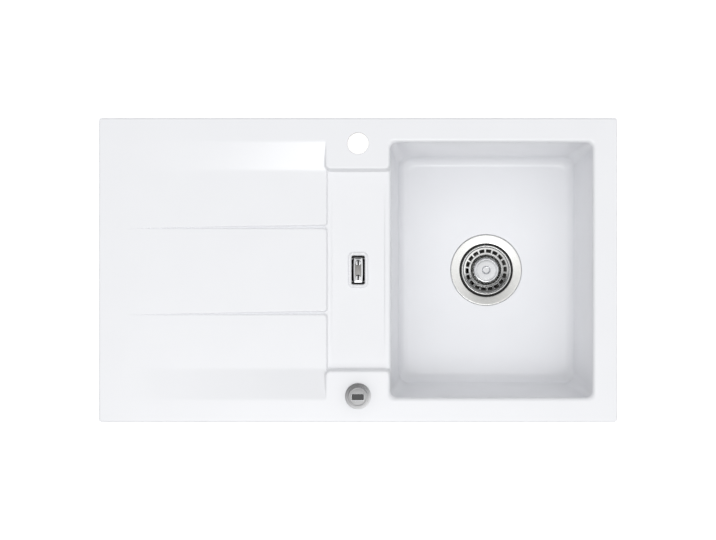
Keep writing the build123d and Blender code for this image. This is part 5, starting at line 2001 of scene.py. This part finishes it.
@dataclass
class Studio:
    """Camera, lamp, world and floor; lamp sizes and the floor are metres."""

    frame_width: float = 1186.0
    lens: float = 100.0
    sensor: float = 36.0
    aim: tuple[float, float, float] = (0.0, 0.0, 12.0)
    offset: tuple[float, float] = (57.0, 0.0)
    floor_level: float = -301.0
    floor_half: float = 6.0
    floor_colour: str = "#F2F2F2"
    floor_roughness: float = 0.9
    floor_lift: float = 0.6
    low_light: float = 0.15
    high_light: float = 1.76
    light_gather: float = 2.0
    back_light: float = 0.1
    back_edge: tuple[float, float] = (0.05, 0.2)
    side_light: float = 0.6
    key_place: tuple[float, float, float] = (-0.15, -1.6, 5.9)
    key_size: tuple[float, float] = (1.9, 1.5)
    key_power: float = 37.0

    def build(self) -> None:
        """Sets up everything that isn't the object."""
        bpy.context.scene.view_settings.view_transform = "Standard"
        self.set_camera()
        self.set_world()
        self.add_key()
        self.add_floor()

    def set_camera(self) -> None:
        """Adds the camera above the sink, looking straight down from a little beside its middle."""
        camera = bpy.data.objects.new("camera", bpy.data.cameras.new("camera"))
        camera.data.lens = self.lens
        camera.data.sensor_width = self.sensor
        camera.data.shift_x, camera.data.shift_y = (-beside / self.frame_width for beside in self.offset)
        height = self.lens * self.frame_width / self.sensor
        camera.location = Vector((
            self.aim[0] + self.offset[0], self.aim[1] + self.offset[1], self.aim[2] + height
        )) * MM
        bpy.context.scene.collection.objects.link(camera)
        bpy.context.scene.camera = camera

    def set_world(self) -> None:
        """Adds a white surround, brightest above; a gloss shows it dim at the back, brighter at the right."""
        world = bpy.data.worlds.new("studio")
        world.use_nodes = True
        tree = world.node_tree
        aim = add_node(tree, "SeparateXYZ", {"Vector": add_node(tree, "TexCoord").outputs["Generated"]})
        upward = add_node(tree, "Math", {0: aim.outputs["Z"], 1: self.light_gather}, operation="POWER")
        light = add_node(
            tree,
            "MapRange",
            {"Value": upward.outputs[0], "To Min": self.low_light, "To Max": self.high_light},
        )
        clear = self.seen(tree, "Is Camera Ray", "Is Transmission Ray")
        shown = add_node(tree, "MapRange", {"Value": clear, "To Min": light.outputs["Result"], "To Max": 1.0})
        start, stop = self.back_edge
        gloss = add_node(
            tree,
            "MapRange",
            {
                "Value": aim.outputs["Y"],
                "From Min": start,
                "From Max": stop,
                "To Min": 1.0,
                "To Max": self.back_light,
            },
            interpolation_type="SMOOTHSTEP",
        )
        side = add_node(
            tree, "Math", {0: aim.outputs["X"], 1: self.side_light, 2: 1.0}, operation="MULTIPLY_ADD"
        )
        mirrored = add_node(
            tree, "Math", {0: gloss.outputs["Result"], 1: side.outputs[0]}, operation="MULTIPLY"
        )
        strength = add_node(
            tree,
            "MapRange",
            {
                "Value": add_node(tree, "LightPath").outputs["Is Glossy Ray"],
                "To Min": shown.outputs["Result"],
                "To Max": mirrored.outputs[0],
            },
        )
        background = tree.nodes["Background"]
        background.inputs["Color"].default_value = WHITE
        tree.links.new(strength.outputs["Result"], background.inputs["Strength"])
        bpy.context.scene.world = world

    def seen(self, tree: bpy.types.NodeTree, *kinds: str) -> bpy.types.NodeSocket:
        """One for a ray of the given kinds, zero for others.

        Args:
            tree: The node tree that asks.
            *kinds: Names of the kinds of ray.

        Returns:
            The socket.
        """
        rays = add_node(tree, "LightPath")
        socket = rays.outputs[kinds[0]]
        for kind in kinds[1:]:
            either = add_node(tree, "Math", {0: socket, 1: rays.outputs[kind]}, operation="MAXIMUM")
            socket = either.outputs[0]
        return socket

    def add_key(self) -> None:
        """Adds the rectangular soft lamp above the front."""
        light = bpy.data.lights.new("key", "AREA")
        light.shape = "RECTANGLE"
        light.size, light.size_y = self.key_size
        light.energy = self.key_power
        lamp = bpy.data.objects.new("key", light)
        lamp.location = self.key_place
        lamp.rotation_euler = (-lamp.location).to_track_quat("-Z", "Y").to_euler()
        bpy.context.scene.collection.objects.link(lamp)

    def add_floor(self) -> None:
        """Adds a white floor that shows the shadow and, seen itself, is lifted to the surround's white."""
        half, level = self.floor_half, self.floor_level * MM
        floor = bpy.data.objects.new("floor", bpy.data.meshes.new("floor"))
        corners = ((-half, -half, level), (half, -half, level), (half, half, level), (-half, half, level))
        floor.data.from_pydata(corners, [], [(0, 1, 2, 3)])
        bpy.context.scene.collection.objects.link(floor)
        material = bpy.data.materials.new("studio_floor")
        material.use_nodes = True
        tree = material.node_tree
        shader = tree.nodes["Principled BSDF"]
        shader.inputs["Base Color"].default_value = linear(self.floor_colour)
        shader.inputs["Roughness"].default_value = self.floor_roughness
        shader.inputs["Emission Color"].default_value = WHITE
        seen = self.seen(tree, "Is Camera Ray", "Is Transmission Ray", "Is Glossy Ray")
        lift = add_node(tree, "Math", {0: seen, 1: self.floor_lift}, operation="MULTIPLY")
        tree.links.new(lift.outputs[0], shader.inputs["Emission Strength"])
        dress(floor, material)


def main() -> None:
    """Builds the sink's looks piece by piece."""
    logging.basicConfig(level=logging.INFO, format="%(name)s: %(message)s")
    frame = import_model()
    finishes = {
        Slot.CERAMIC: GLAZE.build(),
        Slot.STEEL: STEEL.build(),
        Slot.CHROME: CHROME.build(),
        Slot.RUBBER: RUBBER.build(),
        Slot.WHITE_PLASTIC: WHITE_PLASTIC.build(),
        Slot.BLACK_PLASTIC: BLACK_PLASTIC.build(),
        Slot.BRASS: BRASS.build(),
        Slot.ENAMEL: ENAMEL.build(),
    }
    dress_nodes(frame, finishes)
    dress(frame["nodes"]["cable_sheath"], BLACK_VINYL.build())
    stand_for(CeramicBody().build(), "sink_body", Body.SINK, finishes[Slot.CERAMIC])
    # the cup below the flange's shoulder is painted dark grey as shade of the recess
    Waste().build(finishes, CUP_SHADE.build())
    # the screw slots are filled with near-black painted shade
    Overflow().build(finishes, BRUSHED.build(), SCREW_SLOT_SHADE.build())
    Control().build(finishes, BLASTED.build(), SATIN.build())
    PipeUnions().build(finishes)
    Studio().build()


if __name__ == "__main__":
    main()
